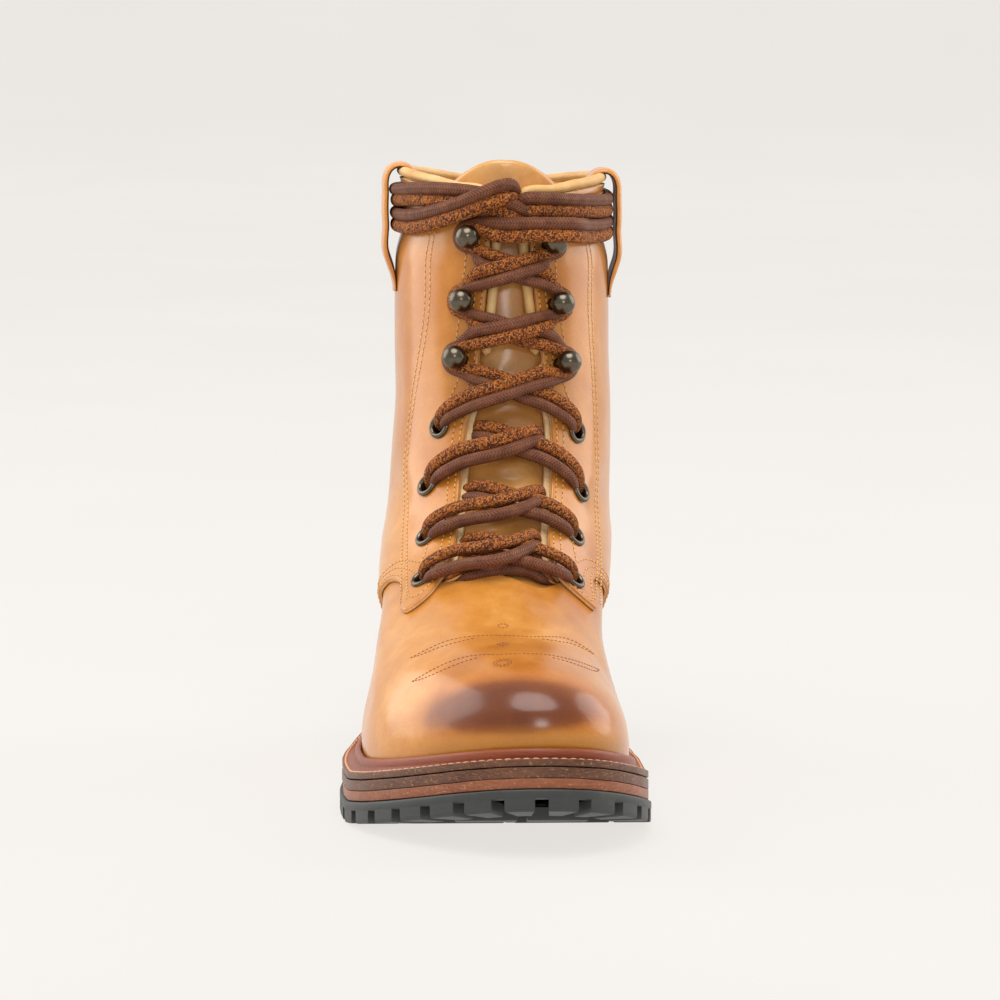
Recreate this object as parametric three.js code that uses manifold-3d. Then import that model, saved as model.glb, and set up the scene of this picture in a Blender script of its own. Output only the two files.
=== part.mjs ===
// A tan leather lace-up boot with a lug sole, built on a round-toed last as a set of separate pieces.
// Millimetres, +Z up, toe towards -Y, inner side of the foot towards +X: a right boot.
// The origin is the centre of the heel's ground face.
import * as THREE from "three";
import { mergeVertices } from "three/addons/utils/BufferGeometryUtils.js";
import Module from "manifold-3d";

const wasm = await Module();
wasm.setup();

// Driving sizes of the last and the shaft
const LAST_LENGTH = 264; // upper at the feather line, heel to toe
const BALL_WIDTH = 90.4; // outside of the vamp at the ball
const HEEL_CENTRE = 34; // from the back of the feather line to the centre of the heel
const SHAFT_WIDTH = 76.5; // across the shaft under the quarters
const COLLAR_HEIGHT = 217; // floor to collar at the sides
const SHAFT_DATUM = 30; // height that the level shaft sections count from
const TILT_FADE = 100; // height over which sections turn from sole-parallel to level
const HEEL_LIFT = 19;
const TOE_SPRING = 13.7; // rise of the feather line at the toe
const COLLAR_DIP = 6.5; // how far the collar drops at front and back
const COLLAR_LEAN = 1.2; // how far it drops on the inner side and rises on the outer
const LACE_SHIFT = 1.6; // the lacing's centre line, inward from the last's ridge

// Leather, rubber and their clearances
const GAP = 0.3;
const FEATHER_GAP = 0.6; // above and below the welt, whose facets run another way
const FITTING_GAP = 0.5; // under the metal fittings, whose flat seats bridge the curved leather
const UPPER_WALL = 1.5;
const QUARTER_THICKNESS = 1.6;
const TONGUE_THICKNESS = 1.8;
const TONGUE_GAP = 0.6;
const TONGUE_START = 0.24; // share of RISE where the tongue is sewn in under the vamp
const TONGUE_CROWN = 11; // rise of its domed top over the shell
const TONGUE_DOME = 14; // fall from the dome's middle to its sides
const DOME_START = 0.84; // share of RISE where the tongue's edges begin to fall
// How far a throat edge stands back from its line, below the binding and beside it.
const FLUSH = { open: 0, bound: 0 };
const SET_BACK = { open: 2.4, bound: 0.4 };
const THROAT_DEPTH = 0.3; // share of LAST_LENGTH back to which the throat is cut
const EDGE_DROP = 1; // how far the quarters' lower edge sits under its table's heights
const SCRAP = 500; // volume under which a cut-off bit of a quarter is dropped
const INSOLE_INSET = 2.2; // from the lining to the insole's edge
const INSOLE_THICKNESS = 3;
const WELT_THICKNESS = 3;
const WELT_MARGIN = 7.4; // sole edge outside the upper at the forefoot
const HEEL_MARGIN = 3;
const WELT_INNER_MARGIN = -6;
const LIP_HEIGHT = 4.2;
const LIP_THICKNESS = 2.3;
const LIP_TAPER = 0.8; // the lip's top against its foot
const MIDSOLE_THICKNESS = 4;
const SLIP_SOLE_THICKNESS = 3.6;
const RUBBER_THICKNESS = 7.8;
const SHANK_THICKNESS = 4;
const RUBBER_PROUD = 1;

// Tread
const LUG_PITCH = 14.8;
const LUG_GAP = 4.6;
const LUG_LENGTH = 13;
const LUG_DEPTH = 4.4;
const CHANNEL_WIDTH = 3;
const CROSS_PITCH = 15;
const FOREFOOT_START = 0.47; // share of LAST_LENGTH where the tread begins
const TREAD_RAMP = 10; // length over which the rubber thickens to the tread
const HEEL_BREAST = 72;
const HEEL_LIFT_THICKNESS = 9;

// Hardware, binding, loops and laces
const FITTING_SIDES = 8;
const EYELET_BORE = 2.6;
const EYELET_FLANGE = 4.6;
const EYELET_WALL = 0.5;
const FLANGE_THICKNESS = 0.8;
const BEVEL = 0.6;
const HOOK_BALL = 4.4;
const HOOK_STEM = 1.7;
const HOOK_BASE = 3.6;
const HOOK_BASE_THICKNESS = 0.8;
const HOOK_BALL_HEIGHT = 7;
const LACE_RADIUS = 2.1;
const STRAND_SPACING = 4;
const BINDING_RADIUS = 1.8;
const BINDING_CORNER = 0.028; // turn from the ridge where the binding leaves the collar
const BINDING_ARC = 288; // degrees of the roll, open towards the leather
const LOOP_WIDTH = 20;
const LOOP_THICKNESS = 2;

// Sampling of the curved pieces
const AROUND = 32;
const OUTLINE_POINTS = 44;
const SHELL_LEVELS = [
  0, 0.028, 0.08, 0.13, 0.167, 0.2, 0.225, 0.25, 0.28, 0.315, 0.36, 0.42, 0.51, 0.65, 0.82, 0.9,
  0.955, 1,
];
const TONGUE_COLUMNS = 4; // columns of the last to each side of its ridge that the tongue spans
const TURN_STEP = 0.002; // steps for a surface's slope
const LEVEL_STEP = 0.4;
const FRONT_SPAN = 0.2; // turn to each side of the ridge within which the front is searched

const RISE = COLLAR_HEIGHT - SHAFT_DATUM;
const SOLE_TOP = WELT_THICKNESS + MIDSOLE_THICKNESS + SLIP_SOLE_THICKNESS + RUBBER_THICKNESS;
const HALF_BALL = BALL_WIDTH / 2;
const HALF_SHAFT = SHAFT_WIDTH / 2;

// The sole-parallel plan: shares of LAST_LENGTH against half width and sideways shift
// (shares of HALF_BALL), heel rise (share of HEEL_LIFT) and toe rise (share of TOE_SPRING).
const PLAN = [
  { at: 0, half: 0.62, shift: 0, heel: 1.06, toe: 0 },
  { at: 0.13, half: 0.7, shift: 0, heel: 1, toe: 0 },
  { at: 0.27, half: 0.69, shift: -0.06, heel: 0.84, toe: 0 },
  { at: 0.42, half: 0.75, shift: -0.12, heel: 0.45, toe: 0 },
  { at: 0.52, half: 0.86, shift: -0.15, heel: 0.17, toe: 0 },
  { at: 0.62, half: 0.97, shift: -0.18, heel: 0, toe: 0 },
  { at: 0.7, half: 1, shift: -0.17, heel: 0, toe: 0 },
  { at: 0.76, half: 0.99, shift: -0.15, heel: 0, toe: 0 },
  { at: 0.82, half: 0.95, shift: -0.1, heel: 0, toe: 0.14 },
  { at: 0.88, half: 0.89, shift: -0.02, heel: 0, toe: 0.37 },
  { at: 0.94, half: 0.82, shift: 0.07, heel: 0, toe: 0.66 },
  { at: 1, half: 0.76, shift: 0.14, heel: 0, toe: 1 },
  { at: 1.03, half: 0.74, shift: 0.16, heel: 0, toe: 1.18 },
];

// The rising sections: level is a share of RISE, front and back are reaches and the two caps
// are lengths of the rounded ends (shares of LAST_LENGTH), foot is a share of the plan width and
// shaft a share of SHAFT_WIDTH.
const RISERS = [
  { level: 0, front: 0.998, back: 0, frontCap: 0.215, backCap: 0.13, foot: 0.985, shaft: 1.06 },
  { level: 0.04, front: 1.004, back: -0.008, frontCap: 0.215, backCap: 0.14, foot: 1, shaft: 1.06 },
  { level: 0.08, front: 0.998, back: -0.012, frontCap: 0.22, backCap: 0.16, foot: 0.985, shaft: 1.06 },
  { level: 0.123, front: 0.977, back: -0.013, frontCap: 0.25, backCap: 0.2, foot: 0.95, shaft: 1.06 },
  { level: 0.163, front: 0.937, back: -0.011, frontCap: 0.3, backCap: 0.25, foot: 0.91, shaft: 1.06 },
  { level: 0.198, front: 0.873, back: -0.006, frontCap: 0.33, backCap: 0.28, foot: 0.88, shaft: 1.06 },
  { level: 0.222, front: 0.8, back: 0, frontCap: 0.34, backCap: 0.29, foot: 0.86, shaft: 1.06 },
  { level: 0.246, front: 0.72, back: 0.005, frontCap: 0.34, backCap: 0.29, foot: 0.85, shaft: 1.06 },
  { level: 0.281, front: 0.64, back: 0.011, frontCap: 0.33, backCap: 0.28, foot: 0.85, shaft: 1.06 },
  { level: 0.316, front: 0.58, back: 0.018, frontCap: 0.3, backCap: 0.27, foot: 0.85, shaft: 1.04 },
  { level: 0.364, front: 0.522, back: 0.024, frontCap: 0.265, backCap: 0.25, foot: 0.85, shaft: 1.025 },
  { level: 0.43, front: 0.468, back: 0.03, frontCap: 0.23, backCap: 0.225, foot: 0.85, shaft: 1.02 },
  { level: 0.532, front: 0.428, back: 0.034, frontCap: 0.2, backCap: 0.2, foot: 0.85, shaft: 1.01 },
  { level: 0.66, front: 0.402, back: 0.03, frontCap: 0.187, backCap: 0.187, foot: 0.85, shaft: 1 },
  { level: 0.83, front: 0.385, back: 0.02, frontCap: 0.183, backCap: 0.183, foot: 0.85, shaft: 0.985 },
  { level: 0.9, front: 0.379, back: 0.018, frontCap: 0.181, backCap: 0.181, foot: 0.85, shaft: 0.92 },
  { level: 0.95, front: 0.377, back: 0.017, frontCap: 0.18, backCap: 0.18, foot: 0.85, shaft: 0.92 },
  { level: 1, front: 0.378, back: 0.013, frontCap: 0.18, backCap: 0.18, foot: 0.85, shaft: 0.965 },
];

// Half the throat's opening between the quarters: height and half (shares of COLLAR_HEIGHT).
const THROAT = [
  { height: 0.304, half: 0.16 },
  { height: 0.352, half: 0.096 },
  { height: 0.388, half: 0.068 },
  { height: 0.43, half: 0.062 },
  { height: 0.5, half: 0.062 },
  { height: 0.585, half: 0.058 },
  { height: 0.665, half: 0.04 },
  { height: 0.685, half: 0.037 },
  { height: 0.695, half: 0.035 },
  { height: 0.8, half: 0.022 },
  { height: 0.9, half: 0.014 },
  { height: 0.945, half: 0.014 },
  { height: 1, half: 0.038 },
];
const THROAT_BASE = 0.352; // share of COLLAR_HEIGHT where the vamp closes the throat
const BINDING_START = 0.69; // share of COLLAR_HEIGHT where the rolled binding begins
const BINDING_ROWS = [0.705, 0.8, 0.9, 0.945]; // its stops along the throat, the same share

// The quarters' lower edge from the sole to the front tip: reach is a share of LAST_LENGTH,
// height a share of COLLAR_HEIGHT.
const QUARTER_EDGE = [
  { reach: 0.42, height: 0 },
  { reach: 0.425, height: 0.18 },
  { reach: 0.445, height: 0.26 },
  { reach: 0.475, height: 0.322 },
  { reach: 0.51, height: 0.352 },
  { reach: 0.54, height: 0.345 },
  { reach: 0.57, height: 0.32 },
  { reach: 0.6, height: 0.304 },
];

// Lacing rows from the toe up: height is a share of COLLAR_HEIGHT, half of SHAFT_WIDTH, and the
// inner side sits lower by innerDrop, another share of COLLAR_HEIGHT.
const ROWS = [
  { kind: "eyelet", height: 0.353, half: 0.337, innerDrop: 0.003 },
  { kind: "eyelet", height: 0.411, half: 0.333, innerDrop: 0 },
  { kind: "eyelet", height: 0.487, half: 0.344, innerDrop: 0.01 },
  { kind: "eyelet", height: 0.584, half: 0.31, innerDrop: 0.009 },
  { kind: "hook", height: 0.697, half: 0.214, innerDrop: 0.009 },
  { kind: "hook", height: 0.7935, half: 0.189, innerDrop: 0.0055 },
  { kind: "hook", height: 0.9005, half: 0.161, innerDrop: 0.012 },
];

const smooth = (v) => {
  const t = Math.min(1, Math.max(0, v));
  return t * t * (3 - 2 * t);
};
const mix = (a, b, t) => a + (b - a) * t;

// Smooth value of one column of a table, without overshoot between its rows.
function column(table, key, name) {
  const xs = table.map((row) => row[key]);
  const ys = table.map((row) => row[name]);
  const last = xs.length - 1;
  const slope = xs.slice(1).map((x, i) => (ys[i + 1] - ys[i]) / (x - xs[i]));
  const tangent = ys.map((_, i) => {
    if (i === 0) return slope[0];
    if (i === last) return slope[last - 1];
    if (slope[i - 1] * slope[i] <= 0) return 0;
    return (2 * slope[i - 1] * slope[i]) / (slope[i - 1] + slope[i]);
  });
  return (x) => {
    if (x <= xs[0]) return ys[0];
    if (x >= xs[last]) return ys[last];
    const i = xs.findIndex((limit) => x < limit) - 1;
    const step = xs[i + 1] - xs[i];
    const t = (x - xs[i]) / step;
    const rise = t * t * (3 - 2 * t);
    const bend = t * (1 - t) * step;
    return mix(ys[i], ys[i + 1], rise) + bend * ((1 - t) * tangent[i] - t * tangent[i + 1]);
  };
}

const planHalf = column(PLAN, "at", "half");
const planShift = column(PLAN, "at", "shift");
const heelRise = column(PLAN, "at", "heel");
const toeRise = column(PLAN, "at", "toe");
const frontReach = column(RISERS, "level", "front");
const backReach = column(RISERS, "level", "back");
const frontCap = column(RISERS, "level", "frontCap");
const backCap = column(RISERS, "level", "backCap");
const footShare = column(RISERS, "level", "foot");
const shaftShare = column(RISERS, "level", "shaft");
const throatHalf = column(THROAT, "height", "half");

// Height of the feather line at a distance forward of the heel's back.
function featherHeight(forward) {
  const at = forward / LAST_LENGTH;
  return SOLE_TOP + HEEL_LIFT * heelRise(at) + TOE_SPRING * toeRise(at);
}

function roundEnd(distance, radius, power) {
  const s = Math.min(1, Math.max(0, distance / radius));
  return (1 - (1 - s) ** power) ** (1 / power);
}

// The outer surface of the upper. turn runs once round from the back, by the inner side first;
// level runs from the feather line to the collar in millimetres.
function lastPoint(turn, level) {
  const share = level / RISE;
  const front = LAST_LENGTH * frontReach(share);
  const back = LAST_LENGTH * backReach(share);
  const along = (1 - Math.cos(2 * Math.PI * turn)) / 2;
  const forward = mix(back, front, along);
  const at = forward / LAST_LENGTH;
  const ankle = smooth((share - 0.06) / 0.2);
  const foot = HALF_BALL * planHalf(at) * footShare(share);
  const width = mix(foot, HALF_SHAFT * shaftShare(share), ankle);
  const power = mix(2.3, 2, ankle);
  const half =
    width *
    roundEnd(front - forward, LAST_LENGTH * frontCap(share), power) *
    roundEnd(forward - back, LAST_LENGTH * backCap(share), power);
  const swing = HALF_BALL * planShift(at) * (1 - smooth((share - 0.1) / 0.55));
  const sideways = Math.sin(2 * Math.PI * turn);
  const side = sideways >= 0 ? 1 : -1;
  const rise = mix(featherHeight(forward), SHAFT_DATUM, smooth(level / TILT_FADE));
  const dip = COLLAR_DIP * (1 - Math.abs(sideways)) * smooth((share - 0.7) / 0.3);
  const lean = COLLAR_LEAN * sideways * smooth((share - 0.4) / 0.6);
  return new THREE.Vector3(
    swing + side * half,
    HEEL_CENTRE - forward,
    level + rise - dip - lean,
  );
}

// The same surface moved outward along its normal.
function offsetPoint(turn, level, offset) {
  const point = lastPoint(turn, level);
  if (offset === 0) return point;
  const across = lastPoint(turn + TURN_STEP, level).sub(lastPoint(turn - TURN_STEP, level));
  const beneath = Math.max(0, level - LEVEL_STEP);
  const up = lastPoint(turn, level + LEVEL_STEP).sub(lastPoint(turn, beneath));
  return point.addScaledVector(up.cross(across).normalize(), offset);
}

// Turn and level of the front surface at a given sideways place and height.
function frontPlace(x, z) {
  let low = RISE * 0.1;
  let high = RISE * 1.05;
  let turn = 0.5;
  for (let i = 0; i < 30; i++) {
    const level = (low + high) / 2;
    const ridge = lastPoint(0.5, level).x;
    let outer = 0.5 + (x >= ridge ? -FRONT_SPAN : FRONT_SPAN);
    let inner = 0.5;
    for (let j = 0; j < 26; j++) {
      turn = (outer + inner) / 2;
      const beyond = x >= ridge ? lastPoint(turn, level).x > x : lastPoint(turn, level).x < x;
      if (beyond) outer = turn;
      else inner = turn;
    }
    if (lastPoint(turn, level).z < z) low = level;
    else high = level;
  }
  return { turn, level: (low + high) / 2 };
}

function onFront(x, z, offset) {
  const place = frontPlace(x, z);
  return offsetPoint(place.turn, place.level, offset);
}

// Level of the surface at a turn and a height.
function levelAt(turn, z) {
  let low = 0;
  let high = RISE * 1.3;
  for (let i = 0; i < 30; i++) {
    const middle = (low + high) / 2;
    if (lastPoint(turn, middle).z < z) low = middle;
    else high = middle;
  }
  return low;
}

// Sideways place of the lacing's centre line at a height.
const laceCentre = (z) => lastPoint(0.5, levelAt(0.5, z)).x + LACE_SHIFT;

// Solids and booleans
function solidOf(geometry) {
  const bare = geometry.index ? geometry.toNonIndexed() : geometry.clone();
  bare.deleteAttribute("normal");
  bare.deleteAttribute("uv");
  const merged = mergeVertices(bare, 1e-3);
  const mesh = new wasm.Mesh({
    numProp: 3,
    vertProperties: new Float32Array(merged.attributes.position.array),
    triVerts: new Uint32Array(merged.index.array),
  });
  return new wasm.Manifold(mesh);
}

function geometryOf(solid) {
  const mesh = solid.getMesh();
  const positions = new Float32Array(mesh.numVert * 3);
  for (let i = 0; i < mesh.numVert; i++) {
    positions.set(mesh.vertProperties.subarray(i * mesh.numProp, i * mesh.numProp + 3), i * 3);
  }
  const geometry = new THREE.BufferGeometry();
  geometry.setAttribute("position", new THREE.BufferAttribute(positions, 3));
  geometry.setIndex(new THREE.BufferAttribute(new Uint32Array(mesh.triVerts), 1));
  geometry.computeVertexNormals();
  return geometry;
}

// A solid of corners and triangles, turned to face outward.
function facetSolid(points, triangles) {
  const geometry = new THREE.BufferGeometry().setFromPoints(points);
  geometry.setIndex(triangles);
  const solid = solidOf(geometry);
  if (solid.volume() >= 0) return solid;
  geometry.setIndex(triangles.map((_, i) => triangles[i - (i % 3) + [0, 2, 1][i % 3]]));
  return solidOf(geometry);
}

// A closed wall between two grids of points, rows by columns. A closed grid joins its last
// column to its first; an open one gets end walls.
function wallSolid(outer, inner, closed) {
  const rows = outer.length;
  const columns = outer[0].length;
  const triangles = [];
  const id = (face, row, col) => face * rows * columns + row * columns + (col % columns);
  const quad = (a, b, c, d) => triangles.push(a, b, c, a, c, d);
  const spans = closed ? columns : columns - 1;
  for (let row = 0; row + 1 < rows; row++) {
    for (let col = 0; col < spans; col++) {
      quad(id(0, row, col), id(0, row, col + 1), id(0, row + 1, col + 1), id(0, row + 1, col));
      quad(id(1, row, col), id(1, row + 1, col), id(1, row + 1, col + 1), id(1, row, col + 1));
    }
    if (!closed) {
      quad(id(0, row, 0), id(0, row + 1, 0), id(1, row + 1, 0), id(1, row, 0));
      const end = columns - 1;
      quad(id(0, row, end), id(1, row, end), id(1, row + 1, end), id(0, row + 1, end));
    }
  }
  for (let col = 0; col < spans; col++) {
    const top = rows - 1;
    quad(id(0, 0, col), id(1, 0, col), id(1, 0, col + 1), id(0, 0, col + 1));
    quad(id(0, top, col), id(0, top, col + 1), id(1, top, col + 1), id(1, top, col));
  }
  return facetSolid([...outer.flat(), ...inner.flat()], triangles);
}

// A closed ring through profiles of points, the last joined to the first.
function ringSolid(profiles) {
  const count = profiles[0].length;
  const total = count * profiles.length;
  const triangles = [];
  for (let i = 0; i < total; i++) {
    const next = i - (i % count) + ((i + 1) % count);
    const [above, aboveNext] = [(i + count) % total, (next + count) % total];
    triangles.push(i, next, aboveNext, i, aboveNext, above);
  }
  return facetSolid(profiles.flat(), triangles);
}

// A section carried along stops on the leather, each a point and its outward normal. The
// section's first coordinate lies along the leather across the path, its second points outward.
function sweepSolid(section, stops, steps) {
  const path = new THREE.CatmullRomCurve3(stops.map((stop) => stop.point), false, "centripetal");
  const normals = new THREE.CatmullRomCurve3(stops.map((stop) => stop.normal));
  const points = [];
  for (let i = 0; i <= steps; i++) {
    const along = path.getTangent(i / steps);
    const across = normals.getPoint(i / steps).cross(along).normalize();
    const out = along.clone().cross(across);
    const middle = path.getPoint(i / steps);
    for (const [side, rise] of section) {
      points.push(middle.clone().addScaledVector(across, side).addScaledVector(out, rise));
    }
  }
  const count = section.length;
  const triangles = [];
  for (let i = 0; i < steps * count; i++) {
    const next = i - (i % count) + ((i + 1) % count);
    triangles.push(i, next, next + count, i, next + count, i + count);
  }
  const corners = section.map(([side, rise]) => new THREE.Vector2(side, rise));
  const last = steps * count;
  for (const [a, b, c] of THREE.ShapeUtils.triangulateShape(corners, [])) {
    triangles.push(a, c, b, last + a, last + b, last + c);
  }
  return facetSolid(points, triangles);
}

// Points of a round section between two angles in degrees, centred sideways.
const arc = (radius, from, to, count, centre = 0) =>
  Array.from({ length: count }, (_, i) => {
    const angle = THREE.MathUtils.degToRad(mix(from, to, i / (count - 1)));
    return [centre + radius * Math.cos(angle), radius * Math.sin(angle)];
  });

// A ring of the last between two offsets, from one level to another.
function shell(offsetIn, offsetOut, levels, columns) {
  const grid = (offset) =>
    levels.map((level) =>
      Array.from({ length: columns }, (_, i) => offsetPoint(i / columns, level, offset)),
    );
  return wallSolid(grid(offsetOut), grid(offsetIn), true);
}

// A prism of an outline drawn in the front view (x, z), cut from the toe side back to a depth.
function frontPrism(outline, backY) {
  const shape = new THREE.Shape(outline.map(([x, z]) => new THREE.Vector2(x, z)));
  const geometry = new THREE.ExtrudeGeometry(shape, { depth: 2 * LAST_LENGTH, bevelEnabled: false });
  geometry.rotateX(Math.PI / 2);
  geometry.translate(0, backY, 0);
  return solidOf(geometry);
}

// A prism of an outline drawn in the side view (forward, z), across the whole width.
function sidePrism(outline) {
  const shape = new THREE.Shape(outline.map(([forward, z]) => new THREE.Vector2(-forward, z)));
  const geometry = new THREE.ExtrudeGeometry(shape, { depth: 2 * BALL_WIDTH, bevelEnabled: false });
  geometry.rotateX(Math.PI / 2);
  geometry.rotateZ(Math.PI / 2);
  geometry.translate(-BALL_WIDTH, HEEL_CENTRE, 0);
  return solidOf(geometry);
}

function block(width, depth, height, x, y, z, turn = 0) {
  const geometry = new THREE.BoxGeometry(width, depth, height);
  geometry.rotateZ(turn);
  geometry.translate(x, y, z);
  return solidOf(geometry);
}

// The throat's outline in the front view, set back on each side by ease.
function throatOutline(ease, base) {
  const above = 1.2;
  const rows = THROAT.filter((row) => row.height > base);
  const heights = [base, ...rows.map((row) => row.height), above];
  const side = (sign) =>
    heights.map((share) => {
      const z = share * COLLAR_HEIGHT;
      const bound = 2 * BINDING_RADIUS + GAP + ease.bound;
      const back = share > BINDING_START ? bound : ease.open;
      return [laceCentre(z) + sign * (throatHalf(share) * COLLAR_HEIGHT + back), z];
    });
  return [...side(1), ...side(-1).reverse()];
}

// Place and turn of a fitting on the leather: local Z points outward from the last's surface.
function seatAt({ turn, level }) {
  const position = lastPoint(turn, level);
  const normal = offsetPoint(turn, level, 1).sub(position);
  const quaternion = new THREE.Quaternion().setFromUnitVectors(new THREE.Vector3(0, 0, 1), normal);
  return { position, quaternion };
}

// Lacing places: two of each row, the inner side first.
function lacePlaces() {
  return ROWS.flatMap((row, index) =>
    [1, -1].map((sign) => {
      const drop = sign > 0 ? row.innerDrop : 0;
      const z = (row.height - drop) * COLLAR_HEIGHT;
      const x = laceCentre(z) + sign * row.half * SHAFT_WIDTH;
      return { kind: row.kind, index, sign, seat: seatAt(frontPlace(x, z)) };
    }),
  );
}
const places = lacePlaces();
const QUARTER_OUT = GAP + QUARTER_THICKNESS;

function lathe(profile, segments) {
  const points = profile.map(([radius, height]) => new THREE.Vector2(radius, height));
  const geometry = new THREE.LatheGeometry(points, segments);
  geometry.rotateX(Math.PI / 2);
  return geometry;
}

// The upper: vamp and shaft lining in one wall, open at the collar, the throat and underneath
function throatCut(ease, base) {
  return frontPrism(throatOutline(ease, base), HEEL_CENTRE - THROAT_DEPTH * LAST_LENGTH);
}

function laceHoles(radius) {
  return places
    .filter((item) => item.kind === "eyelet")
    .map((item) => {
      const length = 4 * (UPPER_WALL + QUARTER_OUT);
      const geometry = new THREE.CylinderGeometry(radius, radius, length, FITTING_SIDES);
      geometry.rotateX(Math.PI / 2);
      const { position, quaternion } = item.seat;
      return solidOf(geometry.applyQuaternion(quaternion).translate(...position.toArray()));
    });
}

function cutAll(solid, tools) {
  return tools.reduce((left, tool) => left.subtract(tool), solid);
}

const collarTop = RISE - BINDING_RADIUS - GAP;
const upperLevels = SHELL_LEVELS.map((share) => share * collarTop);

function makeUpper() {
  const whole = shell(-UPPER_WALL, 0, upperLevels, AROUND);
  return cutAll(whole, [throatCut(FLUSH, THROAT_BASE), ...laceHoles(EYELET_BORE + EYELET_WALL + GAP)]);
}

// The quarters: two panels over the upper, from the back seam to the throat and its front tips
function makeQuarters() {
  const levels = upperLevels.slice(1);
  const whole = shell(GAP, QUARTER_OUT, levels, AROUND);
  const tip = QUARTER_EDGE[QUARTER_EDGE.length - 1];
  const top = 1.3 * COLLAR_HEIGHT;
  const behind = -HEEL_CENTRE;
  const side = sidePrism([
    [behind, -EDGE_DROP],
    ...QUARTER_EDGE.map((row) => [row.reach * LAST_LENGTH, row.height * COLLAR_HEIGHT - EDGE_DROP]),
    [tip.reach * LAST_LENGTH, top],
    [behind, top],
  ]);
  const seam = block(GAP, HEEL_CENTRE * 2, 3 * COLLAR_HEIGHT, 0, HEEL_CENTRE * 1.5, COLLAR_HEIGHT);
  const both = cutAll(whole.intersect(side), [
    throatCut(SET_BACK, THROAT[0].height),
    seam,
    ...laceHoles(EYELET_BORE + EYELET_WALL + GAP),
  ]);
  const pieces = both.decompose().filter((piece) => piece.volume() > SCRAP);
  return pieces.sort((a, b) => b.boundingBox().max[0] - a.boundingBox().max[0]);
}

// The tongue: a curved sheet inside the throat, rounded at its top
function makeTongue() {
  const outer = -(UPPER_WALL + TONGUE_GAP);
  const levels = upperLevels.filter((level) => level > TONGUE_START * RISE);
  const crown = [0.5, 1].map((share) => collarTop + share * TONGUE_CROWN);
  const domeFoot = DOME_START * RISE;
  const domeHeight = collarTop + TONGUE_CROWN - domeFoot;
  const grid = (offset) =>
    [...levels, ...crown].map((level) =>
      Array.from({ length: 2 * TONGUE_COLUMNS + 1 }, (_, i) => {
        const across = i / TONGUE_COLUMNS - 1;
        const dome = TONGUE_DOME * across * across * smooth((level - domeFoot) / domeHeight);
        return offsetPoint(0.5 + (i - TONGUE_COLUMNS) / AROUND, level - dome, offset);
      }),
    );
  return wallSolid(grid(outer), grid(outer - TONGUE_THICKNESS), false);
}

// Outline point of the sole at a turn, moved outward in plan by a margin
function solePoint(turn, margin, z) {
  const point = lastPoint(turn, 0);
  const step = 2 * TURN_STEP;
  const along = lastPoint(turn + step, 0).sub(lastPoint(turn - step, 0));
  const length = Math.hypot(along.x, along.y);
  const x = point.x - (along.y / length) * margin;
  const y = point.y + (along.x / length) * margin;
  return new THREE.Vector3(x, y, z(HEEL_CENTRE - y));
}

function edgeMargin(turn, extra) {
  const along = (1 - Math.cos(2 * Math.PI * turn)) / 2;
  return mix(HEEL_MARGIN, WELT_MARGIN, smooth((along - 0.2) / 0.35)) + extra;
}

// A slab of the sole between two height functions, out to the sole's edge and an extra margin.
function slab(marginOf, zTop, zBottom) {
  const half = OUTLINE_POINTS / 2;
  const points = [];
  const triangles = [];
  const ids = [zTop, zBottom].map((z) =>
    Array.from({ length: OUTLINE_POINTS }, (_, i) => {
      const turn = i / OUTLINE_POINTS;
      return points.push(solePoint(turn, marginOf(turn), z)) - 1;
    }),
  );
  const [top, bottom] = ids;
  for (let i = 0; i < OUTLINE_POINTS; i++) {
    const next = (i + 1) % OUTLINE_POINTS;
    triangles.push(top[i], bottom[i], bottom[next], top[i], bottom[next], top[next]);
  }
  for (let i = 0; i < half; i++) {
    const [a, b, c, d] = [i, i + 1, OUTLINE_POINTS - i - 1, (OUTLINE_POINTS - i) % OUTLINE_POINTS];
    if (i > 0) {
      triangles.push(top[a], top[b], top[d], bottom[a], bottom[d], bottom[b]);
    }
    if (i < half - 1 || b !== c) {
      triangles.push(top[b], top[c], top[d], bottom[b], bottom[d], bottom[c]);
    }
  }
  return facetSolid(points, triangles);
}

const below = (depth) => (forward) => featherHeight(forward) - depth;

// The welt: a flat strip under the upper's edge with a raised lip against it
function makeWelt() {
  const top = below(FEATHER_GAP);
  const bottom = below(WELT_THICKNESS);
  const inner = FEATHER_GAP;
  const outer = FEATHER_GAP + LIP_THICKNESS;
  const profiles = Array.from({ length: OUTLINE_POINTS }, (_, i) => {
    const turn = i / OUTLINE_POINTS;
    return [
      solePoint(turn, WELT_INNER_MARGIN, bottom),
      solePoint(turn, edgeMargin(turn, 0), bottom),
      solePoint(turn, edgeMargin(turn, 0), top),
      offsetPoint(turn, 0, outer).setZ(solePoint(turn, outer, top).z),
      offsetPoint(turn, LIP_HEIGHT, outer * LIP_TAPER),
      offsetPoint(turn, LIP_HEIGHT, inner),
      offsetPoint(turn, 0, inner).setZ(solePoint(turn, inner, top).z),
      solePoint(turn, WELT_INNER_MARGIN, top),
    ];
  });
  return ringSolid(profiles);
}

function makeInsole() {
  const margin = () => -(UPPER_WALL + INSOLE_INSET);
  return slab(margin, below(-INSOLE_THICKNESS), below(0));
}

const midsoleTop = WELT_THICKNESS + FEATHER_GAP;
const slipTop = WELT_THICKNESS + MIDSOLE_THICKNESS;
const rubberTop = slipTop + SLIP_SOLE_THICKNESS;

function makeMidsole() {
  return slab((turn) => edgeMargin(turn, 0), below(midsoleTop), below(slipTop));
}

function makeSlipSole() {
  return slab((turn) => edgeMargin(turn, 0), below(slipTop + GAP), below(rubberTop));
}

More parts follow.
